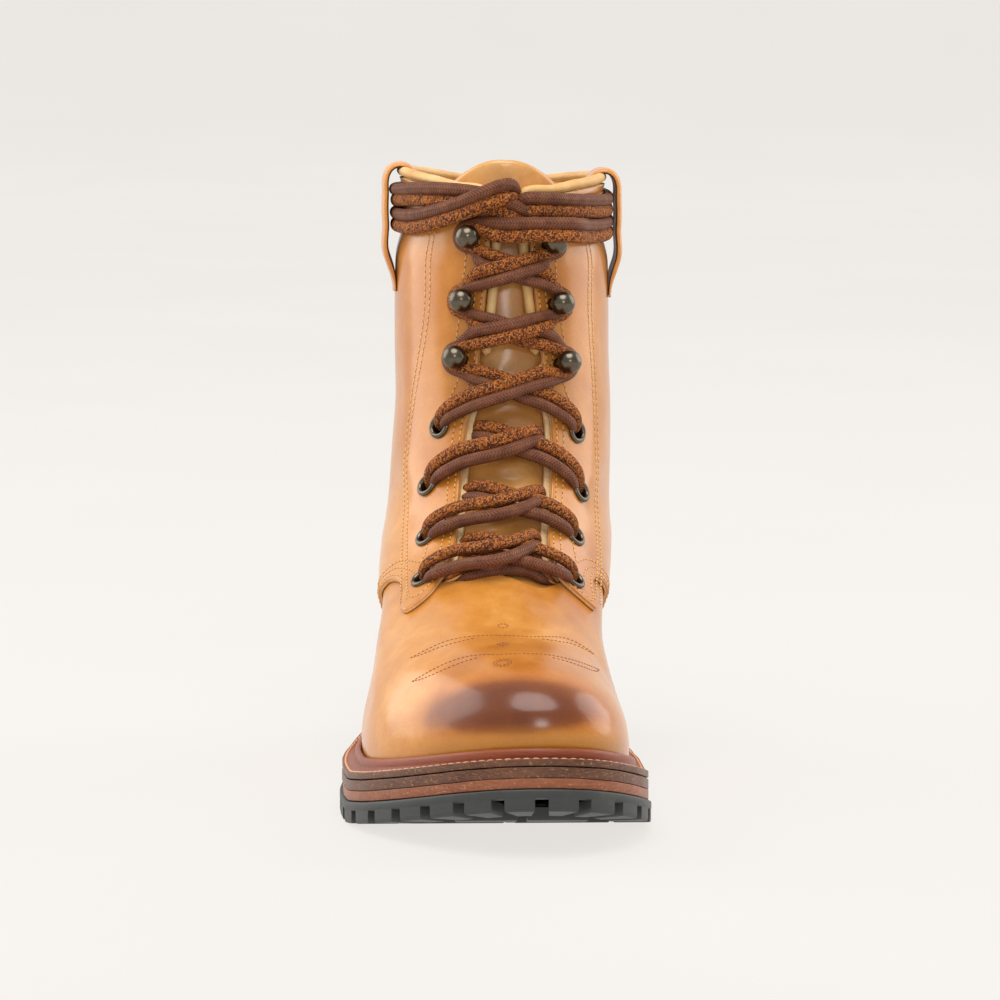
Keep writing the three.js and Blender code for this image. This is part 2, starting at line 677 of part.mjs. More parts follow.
// Places along the forefoot's edge at an even pitch, one at the toe and the rest to each side
function edgePlaces(margin, pitch, start) {
  const found = [];
  for (const side of [1, -1]) {
    let travelled = side === 1 ? pitch : 0;
    let previous = solePoint(0.5, margin, () => 0);
    for (let turn = 0.5; turn > 0.02; turn -= 0.001) {
      const at = side === 1 ? turn : 1 - turn;
      const point = solePoint(at, margin, () => 0);
      travelled += point.distanceTo(previous);
      previous = point;
      if (HEEL_CENTRE - point.y < start) break;
      if (travelled < pitch) continue;
      travelled -= pitch;
      const inward = solePoint(at, margin - 1, () => 0).sub(point);
      found.push({ x: point.x, y: point.y, turn: Math.atan2(inward.y, inward.x) });
    }
  }
  return found;
}

// The outsole: one rubber sheet, thick and lugged under the forefoot, thin at the waist and heel
function makeOutsole() {
  const start = FOREFOOT_START * LAST_LENGTH;
  const thickness = (forward) =>
    mix(SHANK_THICKNESS, RUBBER_THICKNESS, smooth((forward - start) / TREAD_RAMP));
  const sheet = slab(
    (turn) => edgeMargin(turn, RUBBER_PROUD),
    below(rubberTop + GAP),
    (forward) => featherHeight(forward) - rubberTop - thickness(forward),
  );
  const floorAt = (y) => featherHeight(HEEL_CENTRE - y) - SOLE_TOP;
  const proud = WELT_MARGIN + RUBBER_PROUD;
  const lugStart = start + TREAD_RAMP;
  const grooves = edgePlaces(proud, LUG_PITCH, lugStart).map((place) =>
    block(2 * LUG_LENGTH, LUG_GAP, 2 * LUG_DEPTH, place.x, place.y, floorAt(place.y), place.turn),
  );
  const crossEnd = LAST_LENGTH - LUG_LENGTH - CHANNEL_WIDTH;
  const crossCount = Math.floor((crossEnd - lugStart) / CROSS_PITCH);
  const crosses = Array.from({ length: crossCount }, (_, i) => {
    const forward = lugStart + CROSS_PITCH * (i + 0.5);
    const y = HEEL_CENTRE - forward;
    const half = HALF_BALL * planHalf(forward / LAST_LENGTH) + proud - LUG_LENGTH - CHANNEL_WIDTH;
    const x = HALF_BALL * planShift(forward / LAST_LENGTH);
    return block(2 * half, LUG_GAP, 2 * LUG_DEPTH, x, y, floorAt(y));
  });
  return cutAll(sheet, [...grooves, ...crosses]);
}

// The heel: stacked leather lifts and a lugged rubber top piece
function heelSlab(top, bottom, extra) {
  const whole = slab((turn) => edgeMargin(turn, extra), top, bottom);
  const front = block(
    3 * BALL_WIDTH, 2 * LAST_LENGTH, 8 * SOLE_TOP, 0, HEEL_CENTRE - HEEL_BREAST - LAST_LENGTH, 0,
  );
  return whole.subtract(front);
}

function makeHeelStack() {
  return heelSlab(below(rubberTop + SHANK_THICKNESS + GAP), () => HEEL_LIFT_THICKNESS + GAP, 0);
}

function makeHeelLift() {
  const piece = heelSlab(() => HEEL_LIFT_THICKNESS, () => 0, RUBBER_PROUD);
  const proud = HEEL_MARGIN + RUBBER_PROUD;
  const notches = [];
  for (let forward = LUG_PITCH / 2; forward < HEEL_BREAST - LUG_GAP; forward += LUG_PITCH) {
    for (const side of [1, -1]) {
      const x = side * (HALF_BALL * planHalf(forward / LAST_LENGTH) + proud);
      notches.push(block(2 * LUG_LENGTH, LUG_GAP, 2 * LUG_DEPTH, x, HEEL_CENTRE - forward, 0));
    }
  }
  for (const x of [-LUG_PITCH / 2, LUG_PITCH / 2]) {
    notches.push(block(LUG_GAP, LUG_LENGTH, 2 * LUG_DEPTH, x, HEEL_CENTRE + proud, 0));
  }
  return cutAll(piece, notches);
}

// Collar binding: a rolled edge round the collar and down both throat edges to the hooks
function makeBinding() {
  const centre = (QUARTER_OUT - UPPER_WALL) / 2;
  const onLeather = (turn, level) => {
    const point = offsetPoint(turn, level, centre);
    return { point, normal: offsetPoint(turn, level, centre + 1).sub(point) };
  };
  const edge = (sign) =>
    BINDING_ROWS.map((share) => {
      const z = share * COLLAR_HEIGHT;
      const half = throatHalf(share) * COLLAR_HEIGHT + BINDING_RADIUS;
      const place = frontPlace(laceCentre(z) + sign * half, z);
      return onLeather(place.turn, place.level);
    });
  const corner = BINDING_CORNER;
  const stops = 20;
  const ring = Array.from({ length: stops + 1 }, (_, i) =>
    onLeather(mix(0.5 + corner, 1.5 - corner, i / stops), RISE),
  );
  const section = arc(BINDING_RADIUS, 0, BINDING_ARC, 5);
  return sweepSolid(section, [...edge(-1), ...ring, ...edge(1).reverse()], 48);
}

// Pull loops: straps that arch over the laces and the collar, outside to inside
const LOOP = [
  { height: 0.795, out: 0 },
  { height: 0.83, out: 0.003 },
  { height: 0.87, out: 0.017 },
  { height: 0.91, out: 0.0245 },
  { height: 0.965, out: 0.0245 },
  { height: 0.992, out: 0.019 },
  { height: 1.0155, out: 0.004 },
  { height: 1.0145, out: -0.011 },
  { height: 1, out: -0.0225 },
  { height: 0.94, out: -0.0195 },
];

function makePullLoop(side) {
  const across = 5;
  const seatOut = QUARTER_OUT + GAP;
  const row = (item, thickness) =>
    Array.from({ length: across }, (_, i) => {
      const level = Math.min(item.height * COLLAR_HEIGHT - SHAFT_DATUM, RISE);
      const z = item.height * COLLAR_HEIGHT - side * COLLAR_LEAN;
      const turn = side > 0 ? 0.25 : 0.75;
      const middle = lastPoint(turn, level);
      const spread = mix(-0.5, 0.5, i / (across - 1)) * LOOP_WIDTH;
      const depth = (LAST_LENGTH * (frontReach(level / RISE) - backReach(level / RISE))) / 2;
      const sag = HALF_SHAFT * (1 - Math.sqrt(1 - (spread / depth) ** 2));
      const out = seatOut + item.out * COLLAR_HEIGHT;
      const x = middle.x + side * (out + thickness - sag);
      return new THREE.Vector3(x, middle.y + spread, z);
    });
  // The strap's thickness turns with its path, from outward to upward to inward.
  const lean = (index) => {
    const before = LOOP[Math.max(0, index - 1)];
    const after = LOOP[Math.min(LOOP.length - 1, index + 1)];
    const rise = after.height - before.height;
    const out = after.out - before.out;
    const length = Math.hypot(rise, out);
    return { out: rise / length, up: -out / length };
  };
  const grid = (thickness) =>
    LOOP.map((item, index) => {
      const n = lean(index);
      return row(item, thickness * n.out).map((p) => p.setZ(p.z + thickness * n.up));
    });
  return wallSolid(grid(LOOP_THICKNESS), grid(0), false);
}

// Eyelets: a flange on the quarter and a barrel through both leathers
function makeEyelet() {
  const barrel = EYELET_BORE + EYELET_WALL;
  const face = QUARTER_OUT + FITTING_GAP;
  const profile = [
    [EYELET_BORE, -UPPER_WALL],
    [barrel, -UPPER_WALL],
    [barrel, face],
    [EYELET_FLANGE, face],
    [EYELET_FLANGE - BEVEL, face + FLANGE_THICKNESS],
    [EYELET_BORE, face + FLANGE_THICKNESS],
    [EYELET_BORE, -UPPER_WALL],
  ];
  return lathe(profile, FITTING_SIDES);
}

// Lace hooks: a base, a stem and a ball that the laces pass behind
function makeHook() {
  const face = QUARTER_OUT + FITTING_GAP;
  const middle = QUARTER_OUT + HOOK_BALL_HEIGHT;
  const ball = [-0.9, -0.55, 0, 0.55, 0.9].map((share) => [
    HOOK_BALL * Math.sqrt(1 - share * share),
    middle + HOOK_BALL * share,
  ]);
  const profile = [
    [0, face],
    [HOOK_BASE, face],
    [HOOK_BASE - BEVEL, face + HOOK_BASE_THICKNESS],
    [HOOK_STEM, face + HOOK_BASE_THICKNESS],
    ...ball,
    [0, middle + HOOK_BALL],
  ];
  return lathe(profile, FITTING_SIDES);
}

// Laces: two cords run side by side, crossing at each row
const PAIR_HALF = STRAND_SPACING / 2;
const PAIR_SECTION = [
  ...arc(LACE_RADIUS, -75, 75, 3, PAIR_HALF),
  [0, LACE_RADIUS * 0.6],
  ...arc(LACE_RADIUS, 105, 255, 3, -PAIR_HALF),
  [0, -LACE_RADIUS * 0.6],
];
const LACE_OUT = QUARTER_OUT + LACE_RADIUS + 3 * GAP; // rides clear of the leather's facets
const WRAP_OUT = QUARTER_OUT + LACE_RADIUS + 2 * GAP;
const CROSS_RISE = 2 * LACE_RADIUS - 0.4; // the upper pair rests on the lower
const CLEAR_OF_HOOK = HOOK_BALL + 2.6;
const LEAVE_EYELET = 2.5; // height over the eyelet's centre where a crossing begins
const LEAVE_HOOK = 4.8;
const REACH_HOOK = 5; // height under the hook's centre where a crossing ends
const BAR_HEIGHT = 0.366; // share of COLLAR_HEIGHT

// How far a crossing has climbed to the next row a quarter of the way over, halfway and at its
// end, which lies under the hook in the hook rows, and the upper pair's share of its lift there.
const EYELET_CLIMB = [0.6, 0.8, 0.96];
const HOOK_CLIMB = [0.43, 0.56];
const PAIR_LIFT = [0.45, 1, 0.3];

// A stop of a lace on the front of the leather.
function frontStop(x, z, out) {
  const { turn, level } = frontPlace(x, z);
  const point = offsetPoint(turn, level, out);
  return { point, normal: offsetPoint(turn, level, out + 1).sub(point) };
}

function makeCrossing(index) {
  const [row, next] = [ROWS[index], ROWS[index + 1]];
  const fromHook = row.kind === "hook";
  const toHook = next.kind === "hook";
  const high = next.height * COLLAR_HEIGHT;
  const startHalf = row.half * SHAFT_WIDTH - (fromHook ? CLEAR_OF_HOOK : 0);
  const startOut = LACE_OUT + (fromHook ? 0 : FLANGE_THICKNESS + 4 * GAP);
  const throat = throatHalf(next.height) * COLLAR_HEIGHT - LACE_RADIUS;
  const endHalf = toHook ? next.half * SHAFT_WIDTH - CLEAR_OF_HOOK : throat;
  const pair = (sign, over) => {
    const low = (row.height - (sign < 0 ? row.innerDrop : 0)) * COLLAR_HEIGHT;
    const centre = laceCentre(mix(low, high, 0.5));
    const across = (share, half) => centre + sign * share * half;
    const lift = over ? CROSS_RISE : 0;
    const climb = (stage) => mix(low, high, (toHook ? HOOK_CLIMB : EYELET_CLIMB)[stage]);
    const out = (stage) => LACE_OUT + lift * PAIR_LIFT[stage];
    return sweepSolid(PAIR_SECTION, [
      frontStop(across(-1, startHalf), low + (fromHook ? LEAVE_HOOK : LEAVE_EYELET), startOut),
      frontStop(across(-0.5, startHalf), climb(0), out(0)),
      frontStop(across(0, startHalf), climb(1), out(1)),
      frontStop(across(1, endHalf), toHook ? high - REACH_HOOK : climb(2), out(2)),
    ], 6);
  };
  return pair(1, true).add(pair(-1, false));
}

// The first bar lies in the throat, on the tongue, under the first crossing.
function makeBar() {
  const z = BAR_HEIGHT * COLLAR_HEIGHT;
  const half = throatHalf(BAR_HEIGHT) * COLLAR_HEIGHT - LACE_RADIUS;
  const centre = laceCentre(z);
  const out = LACE_RADIUS - UPPER_WALL - TONGUE_GAP + 3 * GAP;
  const stops = [-1, 0, 1].map((share) => frontStop(centre + share * half, z, out));
  return sweepSolid(PAIR_SECTION, stops, 4);
}

// The wraps: each pair leaves its top hook, crosses the front and goes once round the shaft.
// turn is round the boot from the back by the inner side, height a share of COLLAR_HEIGHT, lift
// a count of CROSS_RISE. The lower pair rides over the inner side's top hook.
const LOWER_WRAP = [
  { turn: 0.518, height: 0.912, lift: 0.9 },
  { turn: 0.495, height: 0.918, lift: 1.3 },
  { turn: 0.465, height: 0.924, lift: 2.2 },
  { turn: 0.437, height: 0.928, lift: 2.8 },
  { turn: 0.4, height: 0.925, lift: 2.1 },
  { turn: 0.35, height: 0.921, lift: 0.6 },
  { turn: 0.3, height: 0.92, lift: 0 },
  { turn: 0.25, height: 0.92, lift: 0 },
  { turn: 0.16, height: 0.922, lift: 0 },
  { turn: 0.08, height: 0.922, lift: 0 },
  { turn: 0, height: 0.922, lift: 0 },
  { turn: -0.08, height: 0.924, lift: 0 },
  { turn: -0.16, height: 0.926, lift: 0 },
  { turn: -0.25, height: 0.928, lift: 0 },
  { turn: -0.33, height: 0.93, lift: 0.1 },
  { turn: -0.4, height: 0.942, lift: 0.8 },
  { turn: -0.45, height: 0.962, lift: 1.2 },
  { turn: -0.485, height: 0.975, lift: 1.2 },
];
const UPPER_WRAP = [
  { turn: 0.49, height: 0.952, lift: 0 },
  { turn: 0.54, height: 0.955, lift: 0 },
  { turn: 0.6, height: 0.962, lift: 0 },
  { turn: 0.67, height: 0.968, lift: 0 },
  { turn: 0.75, height: 0.969, lift: 0 },
  { turn: 0.84, height: 0.967, lift: 0 },
  { turn: 0.92, height: 0.965, lift: 0 },
  { turn: 1, height: 0.964, lift: 0 },
  { turn: 1.08, height: 0.964, lift: 0 },
  { turn: 1.16, height: 0.963, lift: 0 },
  { turn: 1.25, height: 0.962, lift: 0 },
  { turn: 1.33, height: 0.962, lift: 0 },
  { turn: 1.4, height: 0.965, lift: 0.3 },
  { turn: 1.45, height: 0.972, lift: 0.6 },
];

function makeWraps() {
  const band = (table) => {
    const stops = table.map((row) => {
      const level = levelAt(row.turn, row.height * COLLAR_HEIGHT);
      const point = offsetPoint(row.turn, level, WRAP_OUT + row.lift * CROSS_RISE);
      const base = offsetPoint(row.turn, level, 0);
      return { point, normal: offsetPoint(row.turn, level, 1).sub(base) };
    });
    return sweepSolid(PAIR_SECTION, stops, 30);
  };
  return band(LOWER_WRAP).add(band(UPPER_WRAP));
}

// Materials
const surface = (color, roughness, metalness = 0) =>
  new THREE.MeshStandardMaterial({ color, roughness, metalness });
const tan = surface(0xc9853f, 0.42);
const tongueTan = surface(0xb67a3a, 0.42);
const edgeCream = surface(0xe3b677, 0.6);
const weltBrown = surface(0x8a4a2e, 0.5);
const soleBrown = surface(0x6f4030, 0.5);
const rubber = surface(0x3b3f3e, 0.8);
const insoleTan = surface(0xc79a63, 0.7);
const gunmetal = surface(0x4a4843, 0.3, 0.9);
const laceBrown = surface(0x5c3424, 0.7);

function piece(name, shape, material) {
  const geometry = shape instanceof THREE.BufferGeometry ? shape : geometryOf(shape);
  const mesh = new THREE.Mesh(geometry, material);
  mesh.name = name;
  return mesh;
}

function makeLeathers() {
  const group = new THREE.Group();
  const [inner, outer] = makeQuarters();
  group.add(piece("upper", makeUpper(), tan));
  group.add(piece("quarter_inner", inner, tan), piece("quarter_outer", outer, tan));
  group.add(piece("tongue", makeTongue(), tongueTan));
  group.add(piece("collar_binding", makeBinding(), edgeCream));
  group.add(piece("pull_loop_inner", makePullLoop(1), tan));
  group.add(piece("pull_loop_outer", makePullLoop(-1), tan));
  return group;
}

function makeSole() {
  const group = new THREE.Group();
  group.add(piece("insole", makeInsole(), insoleTan));
  group.add(piece("welt", makeWelt(), weltBrown));
  group.add(piece("midsole", makeMidsole(), soleBrown));
  group.add(piece("slip_sole", makeSlipSole(), soleBrown));
  group.add(piece("outsole", makeOutsole(), rubber));
  group.add(piece("heel_stack", makeHeelStack(), soleBrown));
  group.add(piece("heel_lift", makeHeelLift(), rubber));
  return group;
}

function makeFittings() {
  const group = new THREE.Group();
  for (const item of places) {
    const side = item.sign > 0 ? "inner" : "outer";
    const shape = item.kind === "hook" ? makeHook() : makeEyelet();
    const mesh = piece(`${item.kind}_${side}_${item.index + 1}`, shape, gunmetal);
    mesh.position.copy(item.seat.position);
    mesh.quaternion.copy(item.seat.quaternion);
    group.add(mesh);
  }
  return group;
}

function makeLaces() {
  const group = new THREE.Group();
  group.add(piece("lace_bar", makeBar(), laceBrown));
  for (let index = 0; index + 1 < ROWS.length; index++) {
    group.add(piece(`lace_crossing_${index + 1}`, makeCrossing(index), laceBrown));
  }
  group.add(piece("lace_wraps", makeWraps(), laceBrown));
  return group;
}

const boot = new THREE.Group();
boot.add(makeLeathers(), makeSole(), makeFittings(), makeLaces());

export default boot;
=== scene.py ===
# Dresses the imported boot: a right lace-up boot in tan leather on a lugged rubber sole.
# Surfaces follow the same last as the solids, at a finer grain. Lengths are in millimetres until
# build_mesh, which makes every object in metres in the frame's own place.
import math

import bpy
import numpy as np
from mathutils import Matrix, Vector
from mathutils.kdtree import KDTree


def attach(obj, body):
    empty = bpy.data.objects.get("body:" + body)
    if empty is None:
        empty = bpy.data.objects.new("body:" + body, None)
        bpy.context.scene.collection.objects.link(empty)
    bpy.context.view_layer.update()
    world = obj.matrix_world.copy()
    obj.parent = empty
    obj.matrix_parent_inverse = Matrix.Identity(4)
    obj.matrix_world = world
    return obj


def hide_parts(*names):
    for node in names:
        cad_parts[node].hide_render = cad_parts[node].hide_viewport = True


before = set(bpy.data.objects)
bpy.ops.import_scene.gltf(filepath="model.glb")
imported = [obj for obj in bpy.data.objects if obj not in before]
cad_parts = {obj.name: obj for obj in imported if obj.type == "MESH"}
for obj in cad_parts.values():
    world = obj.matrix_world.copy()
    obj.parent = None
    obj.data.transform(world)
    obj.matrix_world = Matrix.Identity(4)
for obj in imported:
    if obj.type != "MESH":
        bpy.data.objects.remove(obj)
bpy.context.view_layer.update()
rng = np.random.default_rng(7)

MM = 0.001
TAU = 2 * math.pi

# Sizes of the last and the shaft in millimetres, the same as the solids have
LAST_LENGTH = 264
BALL_WIDTH = 90.4
HEEL_CENTRE = 34
SHAFT_WIDTH = 76.5
COLLAR_HEIGHT = 217
SHAFT_DATUM = 30
TILT_FADE = 100
HEEL_LIFT = 19
TOE_SPRING = 13.7
COLLAR_DIP = 6.5
COLLAR_LEAN = 1.2
LACE_SHIFT = 1.6

# Leather, rubber and their clearances
GAP = 0.3
UPPER_WALL = 1.5
QUARTER_THICKNESS = 1.6
TONGUE_THICKNESS = 1.8
TONGUE_GAP = 0.6
INSOLE_THICKNESS = 3
WELT_THICKNESS = 3
WELT_MARGIN = 7.4
HEEL_MARGIN = 3
MIDSOLE_THICKNESS = 4
SLIP_SOLE_THICKNESS = 3.6
RUBBER_THICKNESS = 7.8
BINDING_RADIUS = 1.8
BINDING_CORNER = 0.028
BINDING_ROWS = (0.705, 0.8, 0.9, 0.945)
LACE_RADIUS = 2.1
SPECKLED_WIDE = 2.25
SPECKLED_FLAT = 1.75
TONGUE_START = 0.24
TONGUE_CROWN = 11
TONGUE_DOME = 14
TONGUE_PEAK = 4
DOME_START = 0.84
TONGUE_SHARE = 0.125
INSOLE_INSET = 2.2
FEATHER_GAP = 0.6
WELT_INNER_MARGIN = -6
WELT_SEAM_INSET = 1.1
WELT_EDGE_RADIUS = 0.35
SLAB_RIM = 0.3
LIP_HEIGHT = 4.2
LIP_THICKNESS = 2.3
SHANK_THICKNESS = 4
RUBBER_PROUD = 1

# Tread and heel
LUG_PITCH = 14.8
LUG_GAP = 4.6
LUG_LENGTH = 13
LUG_DEPTH = 4.4
LUG_BEVEL = 0.6
CHANNEL_WIDTH = 3
CROSS_PITCH = 15
FOREFOOT_START = 0.47
TREAD_RAMP = 10
HEEL_BREAST = 72
HEEL_LIFT_THICKNESS = 9
STACK_LINES = (0.34, 0.67)
STACK_GROOVE = 0.025
HEEL_SPAN = 0.3

# Fittings and loops
EYELET_BORE = 2.6
EYELET_FLANGE = 4.6
EYELET_WALL = 0.5
HOOK_BALL = 4.4
HOOK_STEM = 1.7
HOOK_BASE_THICKNESS = 0.8
HOOK_BALL_HEIGHT = 7
LOOP_WIDTH = 20
LOOP_THICKNESS = 2

RISE = COLLAR_HEIGHT - SHAFT_DATUM
SOLE_TOP = WELT_THICKNESS + MIDSOLE_THICKNESS + SLIP_SOLE_THICKNESS + RUBBER_THICKNESS
HALF_BALL = BALL_WIDTH / 2
HALF_SHAFT = SHAFT_WIDTH / 2
QUARTER_OUT = GAP + QUARTER_THICKNESS
COLLAR_TOP = RISE - BINDING_RADIUS - GAP


def table(names, rows):
    """Rows of numbers as named columns."""
    return dict(zip(names.split(), np.array(rows, float).T))


# Sole-parallel plan: at is a share of LAST_LENGTH, half and shift of HALF_BALL, heel of HEEL_LIFT
# and toe of TOE_SPRING.
PLAN = table("at half shift heel toe", [
    (0, 0.62, 0, 1.06, 0),
    (0.13, 0.7, 0, 1, 0),
    (0.27, 0.69, -0.06, 0.84, 0),
    (0.42, 0.75, -0.12, 0.45, 0),
    (0.52, 0.86, -0.15, 0.17, 0),
    (0.62, 0.97, -0.18, 0, 0),
    (0.7, 1, -0.17, 0, 0),
    (0.76, 0.99, -0.15, 0, 0),
    (0.82, 0.95, -0.1, 0, 0.14),
    (0.88, 0.89, -0.02, 0, 0.37),
    (0.94, 0.82, 0.07, 0, 0.66),
    (1, 0.76, 0.14, 0, 1),
    (1.03, 0.74, 0.16, 0, 1.18),
])

# Rising sections: level is a share of RISE, front, back and the two caps of LAST_LENGTH, foot of
# the plan's width and shaft of SHAFT_WIDTH.
RISERS = table("level front back frontCap backCap foot shaft", [
    (0, 0.998, 0, 0.215, 0.13, 0.985, 1.06),
    (0.04, 1.004, -0.008, 0.215, 0.14, 1, 1.06),
    (0.08, 0.998, -0.012, 0.22, 0.16, 0.985, 1.06),
    (0.123, 0.977, -0.013, 0.25, 0.2, 0.95, 1.06),
    (0.163, 0.937, -0.011, 0.3, 0.25, 0.91, 1.06),
    (0.198, 0.873, -0.006, 0.33, 0.28, 0.88, 1.06),
    (0.222, 0.8, 0, 0.34, 0.29, 0.86, 1.06),
    (0.246, 0.72, 0.005, 0.34, 0.29, 0.85, 1.06),
    (0.281, 0.64, 0.011, 0.33, 0.28, 0.85, 1.06),
    (0.316, 0.58, 0.018, 0.3, 0.27, 0.85, 1.04),
    (0.364, 0.522, 0.024, 0.265, 0.25, 0.85, 1.025),
    (0.43, 0.468, 0.03, 0.23, 0.225, 0.85, 1.02),
    (0.532, 0.428, 0.034, 0.2, 0.2, 0.85, 1.01),
    (0.66, 0.402, 0.03, 0.187, 0.187, 0.85, 1),
    (0.83, 0.385, 0.02, 0.183, 0.183, 0.85, 0.985),
    (0.9, 0.379, 0.018, 0.181, 0.181, 0.85, 0.92),
    (0.95, 0.377, 0.017, 0.18, 0.18, 0.85, 0.92),
    (1, 0.378, 0.013, 0.18, 0.18, 0.85, 0.965),
])

# Half the throat's opening, both columns shares of COLLAR_HEIGHT
THROAT = table("height half", [
    (0.304, 0.16),
    (0.352, 0.096),
    (0.388, 0.068),
    (0.43, 0.062),
    (0.5, 0.062),
    (0.585, 0.058),
    (0.665, 0.04),
    (0.685, 0.037),
    (0.695, 0.035),
    (0.8, 0.022),
    (0.9, 0.014),
    (0.945, 0.014),
    (1, 0.038),
])
BINDING_START = 0.69

# Lower edge of the quarters up to their front tip: shares of LAST_LENGTH and COLLAR_HEIGHT
QUARTER_EDGE = table("reach height", [
    (0.42, 0),
    (0.425, 0.18),
    (0.445, 0.26),
    (0.475, 0.322),
    (0.51, 0.352),
    (0.54, 0.345),
    (0.57, 0.32),
    (0.6, 0.304),
])
EDGE_DROP = 1

# Lacing rows from the toe up: height and innerDrop are shares of COLLAR_HEIGHT, half of SHAFT_WIDTH
ROWS = table("height half innerDrop", [
    (0.353, 0.337, 0.003),
    (0.411, 0.333, 0),
    (0.487, 0.344, 0.01),
    (0.584, 0.31, 0.009),
    (0.697, 0.214, 0.009),
    (0.7935, 0.189, 0.0055),
    (0.9005, 0.161, 0.012),
])
EYELET_ROWS = 4
ROW_COUNT = 7


def smooth(v):
    t = np.clip(v, 0, 1)
    return t * t * (3 - 2 * t)


def mix(a, b, t):
    return a + (b - a) * t


def column(data, key, name):
    """Smooth value of one column of a table, without overshoot between its rows."""
    xs, ys = data[key], data[name]
    slope = np.diff(ys) / np.diff(xs)
    tangent = np.empty_like(ys)
    tangent[0], tangent[-1] = slope[0], slope[-1]
    product = slope[:-1] * slope[1:]
    total = np.where(product > 0, slope[:-1] + slope[1:], 1)
    tangent[1:-1] = np.where(product > 0, 2 * product / total, 0)

    def value(x):
        x = np.clip(x, xs[0], xs[-1])
        i = np.clip(np.searchsorted(xs, x, side="right") - 1, 0, len(xs) - 2)
        step = xs[i + 1] - xs[i]
        t = (x - xs[i]) / step
        bend = t * (1 - t) * step
        rise = t * t * (3 - 2 * t)
        return mix(ys[i], ys[i + 1], rise) + bend * ((1 - t) * tangent[i] - t * tangent[i + 1])

    return value


plan_half, plan_shift = column(PLAN, "at", "half"), column(PLAN, "at", "shift")
heel_rise, toe_rise = column(PLAN, "at", "heel"), column(PLAN, "at", "toe")
front_reach, back_reach = column(RISERS, "level", "front"), column(RISERS, "level", "back")
front_cap, back_cap = column(RISERS, "level", "frontCap"), column(RISERS, "level", "backCap")
foot_share, shaft_share = column(RISERS, "level", "foot"), column(RISERS, "level", "shaft")
throat_half = column(THROAT, "height", "half")


def feather_height(forward):
    """Height of the feather line at a distance forward of the heel's back."""
    at = forward / LAST_LENGTH
    return SOLE_TOP + HEEL_LIFT * heel_rise(at) + TOE_SPRING * toe_rise(at)


def round_end(distance, radius, power):
    """Share of the full width near an end, rounded over a radius by a superellipse."""
    s = np.clip(distance / radius, 0, 1)
    return (1 - (1 - s) ** power) ** (1 / power)


def last_point(turn, level):
    """Outer surface of the upper. turn runs round from the back by the inner side first."""
    turn, level = np.broadcast_arrays(np.asarray(turn, float), np.asarray(level, float))
    share = level / RISE
    front = LAST_LENGTH * front_reach(share)
    back = LAST_LENGTH * back_reach(share)
    forward = mix(back, front, (1 - np.cos(TAU * turn)) / 2)
    at = forward / LAST_LENGTH
    ankle = smooth((share - 0.06) / 0.2)
    foot = HALF_BALL * plan_half(at) * foot_share(share)
    width = mix(foot, HALF_SHAFT * shaft_share(share), ankle)
    power = mix(2.3, 2, ankle)
    half = (
        width
        * round_end(front - forward, LAST_LENGTH * front_cap(share), power)
        * round_end(forward - back, LAST_LENGTH * back_cap(share), power)
    )
    swing = HALF_BALL * plan_shift(at) * (1 - smooth((share - 0.1) / 0.55))
    sideways = np.sin(TAU * turn)
    side = np.where(sideways >= 0, 1, -1)
    rise = mix(feather_height(forward), SHAFT_DATUM, smooth(level / TILT_FADE))
    dip = COLLAR_DIP * (1 - np.abs(sideways)) * smooth((share - 0.7) / 0.3)
    lean = COLLAR_LEAN * sideways * smooth((share - 0.4) / 0.6)
    return np.stack([swing + side * half, HEEL_CENTRE - forward, level + rise - dip - lean], -1)


def unit(v):
    return v / np.maximum(np.linalg.norm(v, axis=-1, keepdims=True), 1e-12)


TURN_STEP = 0.002
LEVEL_STEP = 0.4


def last_normal(turn, level):
    across = last_point(turn + TURN_STEP, level) - last_point(turn - TURN_STEP, level)
    level = np.asarray(level, float)
    up = last_point(turn, level + LEVEL_STEP) - last_point(turn, np.maximum(0, level - LEVEL_STEP))
    return unit(np.cross(up, across))


def offset_point(turn, level, offset):
    offset = np.asarray(offset, float)
    return last_point(turn, level) + last_normal(turn, level) * offset[..., None]


RIDGE_LEVELS = np.linspace(0, 1.3 * RISE, 900)
RIDGE = last_point(0.5, RIDGE_LEVELS)
FRONT_SPAN = 0.2


def lace_centre(z):
    """Sideways place of the lacing's centre line at a height."""
    return np.interp(z, RIDGE[:, 2], RIDGE[:, 0]) + LACE_SHIFT


def front_place(x, z):
    """Turn and level of the front surface at a sideways place and height."""
    x, z = np.broadcast_arrays(np.asarray(x, float), np.asarray(z, float))
    low = np.full(x.shape, RISE * 0.1)
    high = np.full(x.shape, RISE * 1.05)
    turn = np.full(x.shape, 0.5)
    for _ in range(26):
        level = (low + high) / 2
        side = np.where(x >= last_point(0.5, level)[..., 0], 1.0, -1.0)
        outer = 0.5 - side * FRONT_SPAN
        inner = np.full(x.shape, 0.5)
        for _ in range(22):
            turn = (outer + inner) / 2
            beyond = side * (last_point(turn, level)[..., 0] - x) > 0
            outer = np.where(beyond, turn, outer)
            inner = np.where(beyond, inner, turn)
        under = last_point(turn, level)[..., 2] < z
        low = np.where(under, level, low)
        high = np.where(under, high, level)
    return turn, (low + high) / 2


def level_at(turn, z):
    """Level of the surface at a turn and a height."""
    turn, z = np.broadcast_arrays(np.asarray(turn, float), np.asarray(z, float))
    low = np.zeros(turn.shape)
    high = np.full(turn.shape, RISE * 1.3)
    for _ in range(30):
        middle = (low + high) / 2
        under = last_point(turn, middle)[..., 2] < z
        low = np.where(under, middle, low)
        high = np.where(under, high, middle)
    return low


# Finishes

def srgb(red, green, blue):
    """Linear colour of an sRGB triple from 0 to 255."""
    parts = [v / 255 for v in (red, green, blue)]
    return tuple(v / 12.92 if v <= 0.04045 else ((v + 0.055) / 1.055) ** 2.4 for v in parts) + (1.0,)


